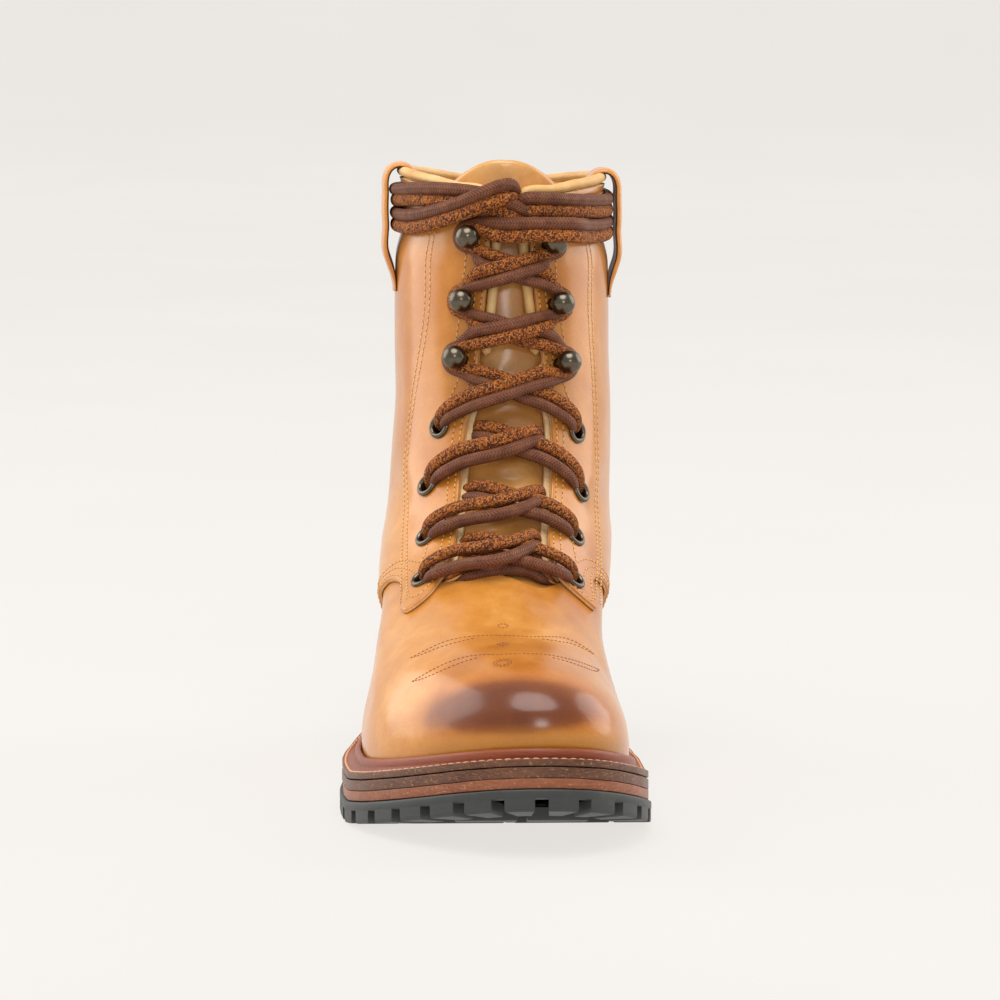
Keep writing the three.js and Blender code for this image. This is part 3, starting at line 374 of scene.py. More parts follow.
class Finish:
    """A node material on the Principled shader, with short calls for the nodes used here."""

    def __init__(self, name, roughness=0.5, **sockets):
        self.material = bpy.data.materials.new(name)
        self.material.use_nodes = True
        self.tree = self.material.node_tree
        self.shader = self.tree.nodes["Principled BSDF"]
        self.shader.inputs["Roughness"].default_value = roughness
        for key, value in sockets.items():
            socket = key.replace("_", " ").title().replace("Ior", "IOR")
            self.shader.inputs[socket].default_value = value

    def put(self, socket, value):
        if isinstance(value, bpy.types.NodeSocket):
            self.tree.links.new(value, socket)
        else:
            socket.default_value = value

    def node(self, kind, values=(), **settings):
        made = self.tree.nodes.new(kind)
        for key, value in settings.items():
            setattr(made, key, value)
        for key, value in dict(values).items():
            self.put(made.inputs[key], value)
        return made

    def place(self, stretch=(1, 1, 1)):
        """Object coordinates in metres, stretched."""
        coordinates = self.node("ShaderNodeTexCoord").outputs["Object"]
        return self.node("ShaderNodeMapping", {"Vector": coordinates, "Scale": stretch}).outputs["Vector"]

    def strip(self):
        """Place along a strip: x round it from 0 to 1 and y along it in millimetres."""
        place = self.node("ShaderNodeUVMap").outputs["UV"]
        parts = self.node("ShaderNodeSeparateXYZ", {"Vector": place})
        return parts.outputs["X"], parts.outputs["Y"]

    def field(self, name):
        return self.node("ShaderNodeAttribute", attribute_name=name).outputs["Fac"]

    def noise(self, vector, scale, detail=3.0, roughness=0.55, distortion=0.0):
        values = {"Vector": vector, "Scale": scale, "Detail": detail, "Roughness": roughness,
                  "Distortion": distortion}
        return self.node("ShaderNodeTexNoise", values).outputs["Fac"]

    def cells(self, vector, scale, feature="F1"):
        node = self.node("ShaderNodeTexVoronoi", {"Vector": vector, "Scale": scale}, feature=feature)
        return node.outputs["Distance"]

    def math(self, operation, a, b=0.0, clamp=False):
        node = self.node("ShaderNodeMath", operation=operation, use_clamp=clamp)
        self.put(node.inputs[0], a)
        self.put(node.inputs[1], b)
        return node.outputs[0]

    def weighted(self, first, share, second, other):
        """Two values, each times its share, added up."""
        return self.math("ADD", self.math("MULTIPLY", first, share), self.math("MULTIPLY", second, other))

    def ramp(self, value, stops):
        node = self.node("ShaderNodeValToRGB", {"Fac": value})
        elements = node.color_ramp.elements
        while len(elements) < len(stops):
            elements.new(0.5)
        for element, (at, colour) in zip(elements, stops):
            element.position = at
            element.color = colour if hasattr(colour, "__len__") else (colour, colour, colour, 1.0)
        return node.outputs["Color"]

    def blend(self, factor, a, b, kind="MIX"):
        node = self.node("ShaderNodeMix", data_type="RGBA", blend_type=kind)
        self.put(node.inputs[0], factor)
        self.put(node.inputs[6], a)
        self.put(node.inputs[7], b)
        return node.outputs[2]

    def bump(self, height, distance, strength):
        values = {"Height": height, "Strength": strength, "Distance": distance}
        return self.node("ShaderNodeBump", values).outputs["Normal"]

    def finish(self, colour=None, roughness=None, normal=None):
        for key, value in (("Base Color", colour), ("Roughness", roughness), ("Normal", normal)):
            if value is not None:
                self.put(self.shader.inputs[key], value)
        return self.material


def leather(name, shade, middle, light, gloss=0.42, grain=1.0, burnished_and_shaded=False, polish=0.85):
    """Waxed leather: cloudy colour, fine pores and hairline creases; where asked, also darkened by a field
    that holds the toe's burnish and painted shade.
    """
    made = Finish(name, specular_ior_level=0.15, coat_weight=polish, coat_roughness=0.2)
    place = made.place()
    cloud = made.noise(place, 28, 5, 0.6, 0.4)
    mottle = made.noise(place, 160, 4, 0.6)
    mixed = made.weighted(cloud, 0.7, mottle, 0.3)
    colour = made.ramp(mixed, [(0.34, shade), (0.5, middle), (0.66, light)])
    patches = made.ramp(made.noise(place, 13, 3, 0.6, 0.8), [(0.42, 1.0), (0.68, srgb(226, 206, 168))])
    colour = made.blend(0.9, colour, patches, "MULTIPLY")
    pores = made.noise(place, 1900, 2, 0.6)
    specks = made.ramp(pores, [(0.3, 0.72), (0.42, 1.0)])
    colour = made.blend(0.5, colour, specks, "MULTIPLY")
    rough = made.ramp(mottle, [(0.3, gloss - 0.05), (0.7, gloss + 0.09)])
    # The burnish field holds the toe's rubbed burnish on the vamp and painted shade on the quarters; both
    # darken the leather through this ramp.
    if burnished_and_shaded:
        drift = made.math("SUBTRACT", made.noise(place, 48, 4, 0.65, 0.6), 0.5)
        patch = made.math("ADD", made.field("burnish_and_shade"), made.math("MULTIPLY", drift, 0.42))
        patch = made.math("MULTIPLY", made.math("SUBTRACT", patch, 0.1), 1.1, clamp=True)
        burnish_and_shade_colour = made.ramp(patch, [(0.0, srgb(206, 132, 48)), (0.3, srgb(182, 100, 26)),
                                   (0.62, srgb(136, 68, 12)), (1.0, srgb(104, 46, 6))])
        colour = made.blend(made.math("MULTIPLY", patch, 1.4, clamp=True), colour, burnish_and_shade_colour)
        amber = made.math("MULTIPLY", made.field("glow"), 0.8)
        colour = made.blend(amber, colour, srgb(186, 122, 26))
        colour = made.blend(0.35, colour, specks, "MULTIPLY")
    pebble = made.cells(place, 1300, "SMOOTH_F1")
    fine = made.noise(place, 3200, 2, 0.6)
    wave = made.noise(place, 300, 4, 0.6, 0.5)
    height = made.weighted(pebble, 0.5, fine, 0.25)
    height = made.math("ADD", height, made.math("MULTIPLY", wave, 0.9))
    return made.finish(colour, rough, made.bump(height, 0.00022 * grain, 0.55))


def cut_edge(name, shade, light):
    """The raw fibre of a cut edge."""
    made = Finish(name, roughness=0.75)
    place = made.place()
    fibre = made.noise(place, 700, 5, 0.7, 0.8)
    colour = made.ramp(fibre, [(0.3, shade), (0.7, light)])
    return made.finish(colour, None, made.bump(fibre, 0.0003, 0.5))


def stacked_leather(name, shade, light, fleck, flecks=0.62):
    """The edge of a bottom leather: streaks along it, scuffs and pale flecks."""
    made = Finish(name, roughness=0.5, specular_ior_level=0.2, coat_weight=0.35, coat_roughness=0.3)
    streaks = made.noise(made.place((1, 1, 7)), 190, 6, 0.7, 0.3)
    cloud = made.noise(made.place(), 45, 4, 0.6)
    mixed = made.weighted(streaks, 0.62, cloud, 0.38)
    colour = made.ramp(mixed, [(0.32, shade), (0.68, light)])
    spots = made.noise(made.place((1, 1, 2.2)), 620, 5, 0.75)
    mask = made.ramp(spots, [(flecks, 0.0), (flecks + 0.08, 1.0)])
    colour = made.blend(made.math("MULTIPLY", mask, 0.7), colour, fleck)
    rough = made.ramp(mixed, [(0.3, 0.38), (0.7, 0.62)])
    height = made.math("ADD", streaks, made.math("MULTIPLY", mask, -0.35))
    return made.finish(colour, rough, made.bump(height, 0.0006, 0.5))


def rubber_finish():
    made = Finish("lug_rubber", roughness=0.5, specular_ior_level=0.5)
    place = made.place()
    dust = made.noise(place, 60, 6, 0.7)
    grit = made.noise(place, 1500, 3, 0.7)
    colour = made.ramp(dust, [
        (0.32, srgb(50, 52, 50)), (0.6, srgb(60, 62, 60)), (0.85, srgb(84, 84, 80)),
    ])
    rough = made.ramp(dust, [(0.3, 0.42), (0.75, 0.62)])
    return made.finish(colour, rough, made.bump(grit, 0.00025, 0.5))


def metal_finish():
    made = Finish("aged_gunmetal", roughness=0.32, metallic=1.0)
    place = made.place()
    cloud = made.noise(place, 420, 5, 0.65, 0.5)
    worn = made.noise(made.place((1, 1, 3)), 1400, 4, 0.7)
    colour = made.ramp(cloud, [
        (0.3, srgb(92, 84, 72)), (0.55, srgb(104, 95, 82)), (0.75, srgb(116, 106, 92)),
    ])
    rough = made.ramp(worn, [(0.3, 0.2), (0.7, 0.28)])
    return made.finish(colour, rough, made.bump(worn, 0.00003, 0.3))


# Weave of the cords in millimetres along them, and counts round them
BRAID_PITCH = 1.1
BRAID_FOLDS = 4
SPECKLE_PITCH = 0.46
SPECKLE_SLANT = 6
SPECKLE_COLUMNS = 26


def braid_finish():
    """Round waxed cord, braided in chevrons, its hollows darkened as painted shade."""
    made = Finish("brown_braid", roughness=0.5, specular_ior_level=0.3)
    around, along = made.strip()
    part = made.math("FRACT", made.math("MULTIPLY", around, BRAID_FOLDS))
    fold = made.math("ABSOLUTE", made.math("SUBTRACT", part, 0.5))
    rib = made.math("ADD", made.math("MULTIPLY", fold, 2.2), made.math("DIVIDE", along, BRAID_PITCH))
    wave = made.math("ABSOLUTE", made.math("SINE", made.math("MULTIPLY", rib, math.pi)))
    seam = made.ramp(fold, [(0.0, 0.35), (0.09, 1.0), (0.41, 1.0), (0.5, 0.35)])
    height = made.math("MULTIPLY", wave, seam)
    place = made.place()
    cloud = made.noise(place, 260, 4, 0.6)
    fuzz = made.noise(place, 2600, 2, 0.6)
    base = made.ramp(cloud, [(0.3, srgb(104, 58, 36)), (0.7, srgb(138, 86, 58))])
    # Painted shade: where the braid's height is low, in its seams and hollows, the colour is darkened.
    dark = made.blend(1.0, base, srgb(180, 160, 146), "MULTIPLY")
    colour = made.blend(made.math("POWER", height, 0.6), dark, base)
    total = made.math("ADD", height, made.math("MULTIPLY", fuzz, 0.35))
    rough = made.ramp(height, [(0.2, 0.75), (0.9, 0.46)])
    return made.finish(colour, rough, made.bump(total, 0.0003, 0.7))


def speckled_finish():
    """Ribbed cord woven from orange and dark threads, its grooves darkened as painted shade."""
    made = Finish("speckled_cord", roughness=0.7, specular_ior_level=0.25)
    around, along = made.strip()
    lean = made.math("MULTIPLY", around, SPECKLE_SLANT)
    slant = made.math("ADD", made.math("DIVIDE", along, SPECKLE_PITCH), lean)
    row = made.math("FLOOR", slant)
    column_at = made.math("FLOOR", made.math("MULTIPLY", around, SPECKLE_COLUMNS))
    cell = made.node("ShaderNodeCombineXYZ", {"X": row, "Y": column_at}).outputs[0]
    pick = made.node("ShaderNodeTexWhiteNoise", {"Vector": cell}).outputs["Value"]
    rib = made.math("ABSOLUTE", made.math("SINE", made.math("MULTIPLY", slant, math.pi)))
    cord = made.math("ABSOLUTE", made.math("SINE", made.math("MULTIPLY", around, SPECKLE_COLUMNS * math.pi)))
    height = made.math("MULTIPLY", made.math("POWER", rib, 0.6), made.math("POWER", cord, 0.5))
    colour = made.ramp(pick, [
        (0.0, srgb(78, 48, 40)), (0.3, srgb(112, 66, 42)), (0.42, srgb(178, 98, 34)),
        (0.7, srgb(200, 114, 40)), (0.92, srgb(220, 146, 72)),
    ])
    fuzz = made.noise(made.place(), 2400, 2, 0.6)
    # Painted shade: where the rib's height is low, between ribs and threads, the colour is darkened.
    painted_groove_shade = made.blend(1.0, colour, srgb(150, 120, 110), "MULTIPLY")
    colour = made.blend(height, painted_groove_shade, colour)
    total = made.math("ADD", height, made.math("MULTIPLY", fuzz, 0.4))
    return made.finish(colour, None, made.bump(total, 0.0003, 0.7))


def thread_finish(name, shade, light):
    made = Finish(name, roughness=0.6)
    twist = made.noise(made.place(), 1500, 3, 0.6)
    colour = made.ramp(twist, [(0.3, shade), (0.7, light)])
    return made.finish(colour, None, made.bump(twist, 0.0002, 0.5))


tan_leather = leather("tan_upper", srgb(196, 122, 42), srgb(210, 138, 56), srgb(224, 158, 80),
                      burnished_and_shaded=True)
strap_tan = leather("tan_strap", srgb(200, 124, 44), srgb(216, 142, 60), srgb(230, 162, 84))
tongue_leather = leather("tongue_tan", srgb(194, 130, 62), srgb(212, 150, 80), srgb(228, 174, 106),
                         gloss=0.36)
lining_leather = leather("shaft_lining_leather", srgb(186, 134, 84), srgb(206, 154, 100),
                         srgb(220, 170, 116), 0.6, polish=0.05)
flesh_leather = cut_edge("flesh_side", srgb(178, 130, 84), srgb(204, 158, 108))
edge_leather = cut_edge("cut_edge", srgb(222, 176, 118), srgb(246, 214, 164))
piping_leather = leather("cream_piping", srgb(218, 168, 104), srgb(232, 188, 126), srgb(244, 208, 152),
                         0.5, 1.3, polish=0.2)
# Dark brown inner face of the pull loops: painted shade where the strap faces the shaft.
strap_inner_shade = leather("strap_inside", srgb(74, 44, 32), srgb(96, 60, 42), srgb(116, 76, 54), 0.5, polish=0.2)
insole_finish = leather("insole_board", srgb(176, 130, 84), srgb(196, 150, 100), srgb(210, 166, 118), 0.65,
                        polish=0.05)
welt_finish = stacked_leather("welt_edge", srgb(124, 60, 38), srgb(158, 84, 54), srgb(176, 104, 72), 0.72)
midsole_finish = stacked_leather("midsole_edge", srgb(66, 38, 26), srgb(128, 84, 60), srgb(206, 150, 96),
                                 0.57)
slip_finish = stacked_leather("slip_edge", srgb(118, 62, 38), srgb(172, 106, 72), srgb(214, 160, 118),
                              0.57)
lug_rubber = rubber_finish()
gunmetal = metal_finish()
brown_braid = braid_finish()
speckled_cord = speckled_finish()
pale_thread = thread_finish("pale_thread", srgb(206, 136, 92), srgb(240, 186, 144))
tan_thread = thread_finish("tan_thread", srgb(214, 156, 84), srgb(242, 194, 124))
dark_thread = thread_finish("dark_thread", srgb(116, 60, 24), srgb(152, 88, 38))


# Meshes

def signed_volume(points, faces):
    total = 0.0
    for size in (3, 4):
        chosen = np.array([face for face in faces if len(face) == size])
        if not len(chosen):
            continue
        a = points[chosen[:, 0]]
        for i in range(1, size - 1):
            b, c = points[chosen[:, i]], points[chosen[:, i + 1]]
            total += np.einsum("ij,ij->i", a, np.cross(b, c)).sum()
    return total


def build_mesh(name, points, faces, materials, node=None, uv=None, fields=None, slots=None, flat=False,
               finish=None):
    """A closed mesh as an object in metres, riding on the root and standing for its CAD nodes."""
    points = np.asarray(points, float)
    faces = [list(face) for face in faces]
    if signed_volume(points, faces) < 0:
        faces = [face[::-1] for face in faces]
    mesh = bpy.data.meshes.new(name)
    mesh.from_pydata((points * MM).tolist(), [], faces)
    for material in materials:
        mesh.materials.append(material)
    if slots is not None:
        mesh.polygons.foreach_set("material_index", np.asarray(slots, np.int32))
    corners = np.empty(len(mesh.loops), np.int32)
    mesh.loops.foreach_get("vertex_index", corners)
    if uv is not None:
        layer = mesh.uv_layers.new(name="UVMap")
        layer.data.foreach_set("uv", np.asarray(uv, float)[corners].ravel())
    for key, values in (fields or {}).items():
        layer = mesh.attributes.new(key, "FLOAT", "POINT")
        layer.data.foreach_set("value", np.asarray(values, np.float32))
    mesh.polygons.foreach_set("use_smooth", np.full(len(mesh.polygons), not flat))
    mesh.validate()
    mesh.update()
    piece = bpy.data.objects.new(name, mesh)
    bpy.context.scene.collection.objects.link(piece)
    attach(piece, "root")
    nodes = [node] if isinstance(node, str) else list(node or [])
    if nodes:
        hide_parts(*nodes)
    return piece


def spread(measure, low, high, step):
    """Places between low and high whose points lie about a step apart, by the widest of several lines."""
    fine = np.linspace(low, high, 1200)
    lines = measure(fine)
    length = np.linalg.norm(np.diff(lines, axis=0), axis=-1)
    gone = np.concatenate([[0], np.cumsum(length.max(axis=1))])
    count = max(2, int(math.ceil(gone[-1] / step)) + 1)
    return np.interp(np.linspace(0, gone[-1], count), gone, fine)


def even_levels(low, high, step, turns=(0.0, 0.25, 0.5, 0.75)):
    return spread(lambda fine: last_point(np.array(turns)[None, :], fine[:, None]), low, high, step)


def even_turns(low, high, step, levels=(2, 25, 45, 100, 180)):
    return spread(lambda fine: last_point(fine[:, None], np.array(levels, float)[None, :]), low, high, step)


def grid_faces(rows, columns, closed=False):
    """Four-sided faces of a grid of points, whose rows close on themselves where closed is set."""
    faces = []
    spans = columns if closed else columns - 1
    for row in range(rows - 1):
        for col in range(spans):
            after = (col + 1) % columns
            faces.append([row * columns + col, row * columns + after,
                          (row + 1) * columns + after, (row + 1) * columns + col])
    return faces


def capped_faces(rows, count):
    """Faces of a tube of rings with a flat cap at each end."""
    faces = grid_faces(rows, count, closed=True)
    faces.append(list(range(count))[::-1])
    faces.append([(rows - 1) * count + i for i in range(count)])
    return faces


def ring_faces(rows, count):
    """Faces of rings whose last one joins the first again."""
    last = (rows - 1) * count
    closing = [[last + i, last + (i + 1) % count, (i + 1) % count, i] for i in range(count)]
    return grid_faces(rows, count, closed=True) + closing


def grid_on_last(turns, levels):
    """A grid of (turn, level) places and its faces."""
    params = np.array([(turn, level) for level in levels for turn in turns])
    return params, grid_faces(len(levels), len(turns))


def cut_faces(params, faces, values, keep_below=False):
    """Splits faces where values change sign. The part below zero goes, unless it is kept."""
    values = np.where(np.abs(values) < 1e-6, 0.0, values).tolist()
    places = [tuple(p) for p in params.tolist()]
    made = {}
    kept = []

    def between(a, b):
        key = (a, b) if a < b else (b, a)
        if key not in made:
            t = values[key[0]] / (values[key[0]] - values[key[1]])
            p, q = places[key[0]], places[key[1]]
            made[key] = len(places)
            places.append(tuple(mix(u, v, t) for u, v in zip(p, q)))
        return made[key]

    for face in faces:
        side = [values[i] for i in face]
        if min(side) >= 0:
            kept.append(face)
            continue
        if max(side) <= 0:
            if keep_below:
                kept.append(face)
            continue
        above, below = [], []
        for i, a in enumerate(face):
            b = face[(i + 1) % len(face)]
            if values[a] >= 0:
                above.append(a)
            if values[a] <= 0:
                below.append(a)
            if values[a] * values[b] < 0:
                middle = between(a, b)
                above.append(middle)
                below.append(middle)
        if len(above) >= 3:
            kept.append(above)
        if keep_below and len(below) >= 3:
            kept.append(below)
    return tidy(np.array(places), kept)


def tidy(params, faces):
    """Drops the points that no face uses."""
    used = np.zeros(len(params), bool)
    used[[i for face in faces for i in face]] = True
    new = np.cumsum(used) - 1
    return params[used], [[int(new[i]) for i in face] for face in faces]


def rim_edges(faces):
    edges = {(a, b) for face in faces for a, b in zip(face, face[1:] + face[:1])}
    return [(a, b) for a, b in edges if (b, a) not in edges]


def nearest(points, targets):
    """For each point, the number of the nearest target and the distance to it."""
    tree = KDTree(len(targets))
    for i, target in enumerate(targets.tolist()):
        tree.insert(target, i)
    tree.balance()
    found = [tree.find(p) for p in points.tolist()]
    return np.array([f[1] for f in found]), np.array([f[2] for f in found])


def dense(starts, ends, step=0.2):
    """Points along segments, no further apart than a step."""
    count = max(2, int(np.linalg.norm(ends - starts, axis=1).max() / step) + 1)
    t = np.linspace(0, 1, count)[None, :, None]
    return (starts[:, None] + (ends - starts)[:, None] * t).reshape(-1, 3)


def thicken(outer, inner, faces, slots):
    """A closed wall between two copies of a sheet, with the slots of its outside, inside and rim."""
    count = len(outer)
    walls = [[b, a, a + count, b + count] for a, b in rim_edges(faces)]
    back = [[i + count for i in face[::-1]] for face in faces]
    parts = (faces, back, walls)
    chosen = [slot for slot, part in zip(slots, parts) for _ in part]
    return np.concatenate([outer, inner]), faces + back + walls, chosen


def chain(edges):
    """Pairs of points joined end to end into the longest lines."""
    near = {}
    for a, b in edges:
        near.setdefault(a, []).append(b)
        near.setdefault(b, []).append(a)
    lines = []
    left = set(near)
    while left:
        start = next((p for p in left if len(near[p]) == 1), next(iter(left)))
        line = [start]
        left.discard(start)
        while True:
            after = [p for p in near[line[-1]] if p in left]
            if not after:
                break
            line.append(after[0])
            left.discard(after[0])
        lines.append(line)
    return sorted(lines, key=len, reverse=True)


def contour(params, faces, values):
    """Lines of (turn, level) places where values are zero, the longest first."""
    edges = []
    places = {}
    for face in faces:
        found = []
        for a, b in zip(face, face[1:] + face[:1]):
            if (values[a] > 0) != (values[b] > 0):
                key = (min(a, b), max(a, b))
                t = values[key[0]] / (values[key[0]] - values[key[1]])
                places[key] = mix(params[key[0]], params[key[1]], t)
                found.append(key)
        if len(found) == 2:
            edges.append(tuple(found))
    return [np.array([places[key] for key in line]) for line in chain(edges)]


def natural(values, at, where):
    """Values of a smooth curve through the stops, by a natural cubic spline."""
    values = np.asarray(values, float)
    flat = values.reshape(len(values), -1)
    step = np.diff(at)
    count = len(at)
    system = np.eye(count)
    right = np.zeros(flat.shape)
    for i in range(1, count - 1):
        system[i, i - 1:i + 2] = step[i - 1], 2 * (step[i - 1] + step[i]), step[i]
        right[i] = 6 * ((flat[i + 1] - flat[i]) / step[i] - (flat[i] - flat[i - 1]) / step[i - 1])
    bend = np.linalg.solve(system, right)
    i = np.clip(np.searchsorted(at, where, side="right") - 1, 0, count - 2)
    h = step[i][:, None]
    a = (at[i + 1] - where)[:, None]
    b = (where - at[i])[:, None]
    result = (
        bend[i] * a**3 / (6 * h) + bend[i + 1] * b**3 / (6 * h)
        + (flat[i] / h - bend[i] * h / 6) * a + (flat[i + 1] / h - bend[i + 1] * h / 6) * b
    )
    return result.reshape((len(where),) + values.shape[1:])


def lengths_along(points):
    return np.concatenate([[0], np.cumsum(np.linalg.norm(np.diff(points, axis=0), axis=1))])


def spaced(stops):
    """Spline places of stops, which keep a curve from bulging where stops lie unevenly."""
    return np.concatenate([[0], np.cumsum(np.linalg.norm(np.diff(stops, axis=0), axis=1) ** 0.75)])


def curve_through(stops, step, extra=None):
    """Evenly spaced points on a smooth curve through stops, with extra columns carried along."""
    stops = np.asarray(stops, float)
    at = spaced(stops)
    fine = natural(stops, at, np.linspace(0, at[-1], 40 * len(stops)))
    gone = lengths_along(fine)
    count = max(3, int(round(gone[-1] / step)) + 1)
    where = np.interp(np.linspace(0, gone[-1], count), gone, np.linspace(0, at[-1], len(fine)))
    points = natural(stops, at, where)
    if extra is None:
        return points
    extra = np.asarray(extra, float)
    return points, np.stack([np.interp(where, at, col) for col in extra.T], -1)


def frames_along(points, normals):
    tangent = unit(np.gradient(points, axis=0))
    across = unit(np.cross(normals, tangent))
    return tangent, across, np.cross(tangent, across)


def sweep(points, normals, section, scale):
    """A section of (side, rise) rows carried along points and scaled at each, with flat caps.

    Returns points, faces and uv, u running round the section and v along the path in millimetres."""
    count, ring = len(points), len(section)
    _, across, out = frames_along(points, normals)
    side = section[None, :, 0] * scale[:, :1]
    rise = section[None, :, 1] * scale[:, 1:]
    body = points[:, None] + side[..., None] * across[:, None] + rise[..., None] * out[:, None]
    turn = np.arange(ring) / ring
    uv = np.stack(np.broadcast_arrays(turn[None, :], lengths_along(points)[:, None]), -1)
    return body.reshape(-1, 3), capped_faces(count, ring), uv.reshape(-1, 2)


def ends_rounded(points, radius):
    """Scale that rounds both ends of a sweep over the radius."""
    gone = lengths_along(points)
    left = np.minimum(gone, gone[-1] - gone) / radius
    s = np.sqrt(np.clip(1 - (1 - np.clip(left, 0, 1)) ** 2, 0.02, 1))
    return np.stack([s, s], -1)


def circle(radius, count, rise=None):
    angle = TAU * np.arange(count) / count
    return np.stack([radius * np.cos(angle), (rise or radius) * np.sin(angle)], -1)


def join(pieces):
    """Several (points, faces, uv) as one."""
    points, faces, uv = [], [], []
    start = 0
    for p, f, *u in pieces:
        points.append(p)
        faces.extend([i + start for i in face] for face in f)
        uv.append(u[0] if u else np.zeros((len(p), 2)))
        start += len(p)
    return np.concatenate(points), faces, np.concatenate(uv)


# Outlines on the leather. A field is positive where the leather is kept.

# How far the quarters stand back from the throat, in millimetres, by share of COLLAR_HEIGHT
THROAT_SET_BACK = table("height back", [
    (0.31, 0.6), (0.35, 2.2), (0.39, 3.3), (0.6, 3.3), (0.66, 1.8), (0.69, 0.4),
])
# Upper end of the vamp under the lacing: half is a share of SHAFT_WIDTH, height of COLLAR_HEIGHT
VAMP_TOP = table("half height", [
    (-0.3, 0.355), (-0.157, 0.363), (-0.045, 0.373), (0.047, 0.367), (0.14, 0.356), (0.211, 0.35),
    (0.284, 0.353),
])
set_back = column(THROAT_SET_BACK, "height", "back")
vamp_top = column(VAMP_TOP, "half", "height")
TIP_ROUND = 6
TIP_STRETCH_START = 0.5
TIP_STRETCH = 0.34
OUTER_TIP_LIFT = 2.2
OUTER_TIP_RUN = 40
VAMP_UNDER = 12
FRONT_LIMIT = HEEL_CENTRE - 0.3 * LAST_LENGTH
EYELET_HOLE = 3.4
THROAT_FOOT = 0.302
FAR_INSIDE = 90
FAR_DOWN = -20
FAR_UP = 1.3 * COLLAR_HEIGHT
FAR_BEHIND = -3 * HEEL_CENTRE
EDGE_ROUND = 0.8
EDGE_FLECK = 1.6


def soft_min(a, b, width):
    """The lesser of two fields, rounded where they cross."""
    h = np.clip(0.5 + 0.5 * (b - a) / width, 0, 1)
    return mix(b, a, h) - width * h * (1 - h)


def throat_field(points, ease=0.0):
    share = points[:, 2] / COLLAR_HEIGHT
    bound = (2 * BINDING_RADIUS + GAP) * smooth((share - BINDING_START) / 0.008 + 0.5)
    half = throat_half(share) * COLLAR_HEIGHT + ease + bound
    side = np.abs(points[:, 0] - lace_centre(points[:, 2])) - half
    side = side + FAR_INSIDE * smooth((THROAT_FOOT - share) / 0.02)
    return np.where(points[:, 1] < FRONT_LIMIT, side, 40.0)


EDGE_REACH = QUARTER_EDGE["reach"] * LAST_LENGTH
EDGE_HEIGHT = QUARTER_EDGE["height"] * COLLAR_HEIGHT - EDGE_DROP
EDGE_LINE = curve_through(np.stack([EDGE_REACH, EDGE_HEIGHT], -1), 0.5)
EDGE_LINE[0, 1] = FAR_DOWN


def edge_field(points):
    """Distance, in the side view, above and behind the quarters' lower edge."""
    z = points[:, 2]
    forward = HEEL_CENTRE - points[:, 1]
    outer = smooth(-(points[:, 0] - lace_centre(z)) / 10)
    past = np.maximum(forward - TIP_STRETCH_START * LAST_LENGTH, 0)
    z = z - OUTER_TIP_LIFT * outer * smooth(past / OUTER_TIP_RUN)
    forward = forward - TIP_STRETCH * past * outer
    line = np.vstack([EDGE_LINE, [EDGE_LINE[-1, 0], FAR_UP]])
    a, b = line[:-1], line[1:]
    span = b - a
    best = np.full(len(points), 1e9)
    for i in range(len(a)):
        rel = np.stack([forward - a[i, 0], z - a[i, 1]], -1)
        t = np.clip(rel @ span[i] / (span[i] @ span[i]), 0, 1)
        best = np.minimum(best, np.linalg.norm(rel - t[:, None] * span[i], axis=1))
    loop = np.vstack([line, [FAR_BEHIND, FAR_UP], [FAR_BEHIND, FAR_DOWN]])
    inside = np.zeros(len(points), bool)
    for (ax, ay), (bx, by) in zip(loop, np.roll(loop, -1, axis=0)):
        if ay == by:
            continue
        crosses = (ay > z) != (by > z)
        inside ^= crosses & (forward < (bx - ax) * (z - ay) / (by - ay) + ax)
    return np.where(inside, best, -best)


def lace_place(row, side):
    """Sideways place and height of an eyelet or hook. Side is 1 on the inner side, -1 on the outer."""
    drop = ROWS["innerDrop"][row] if side > 0 else 0
    z = (ROWS["height"][row] - drop) * COLLAR_HEIGHT
    x = lace_centre(z) + side * ROWS["half"][row] * SHAFT_WIDTH
    return float(x), float(z)


EYELETS = [front_place(*lace_place(row, side)) for row in range(EYELET_ROWS) for side in (1, -1)]


def hole_field(points, offset):
    """Distance outside the eyelet holes."""
    best = np.full(len(points), 1e9)
    for turn, level in EYELETS:
        middle = offset_point(turn, level, offset)
        best = np.minimum(best, np.linalg.norm(points - middle, axis=1) - EYELET_HOLE)
    return best


def quarter_field(points):
    ease = set_back(points[:, 2] / COLLAR_HEIGHT)
    outline = soft_min(throat_field(points, ease), edge_field(points), TIP_ROUND)
    return np.minimum(outline, hole_field(points, QUARTER_OUT))


def vamp_field(points):
    under = VAMP_UNDER - edge_field(points)
    across = points[:, 0] - lace_centre(points[:, 2])
    top = vamp_top(across / SHAFT_WIDTH) * COLLAR_HEIGHT - points[:, 2]
    beside = np.abs(across) - throat_half(points[:, 2] / COLLAR_HEIGHT) * COLLAR_HEIGHT - 4
    field = np.minimum(under, np.maximum(top, beside))
    return np.minimum(field, hole_field(points, 0))


def lining_field(points):
    across = points[:, 0] - lace_centre(points[:, 2])
    base = vamp_top(across / SHAFT_WIDTH) * COLLAR_HEIGHT - 2
    field = np.maximum(throat_field(points), base - points[:, 2])
    return np.minimum(field, hole_field(points, -UPPER_WALL))


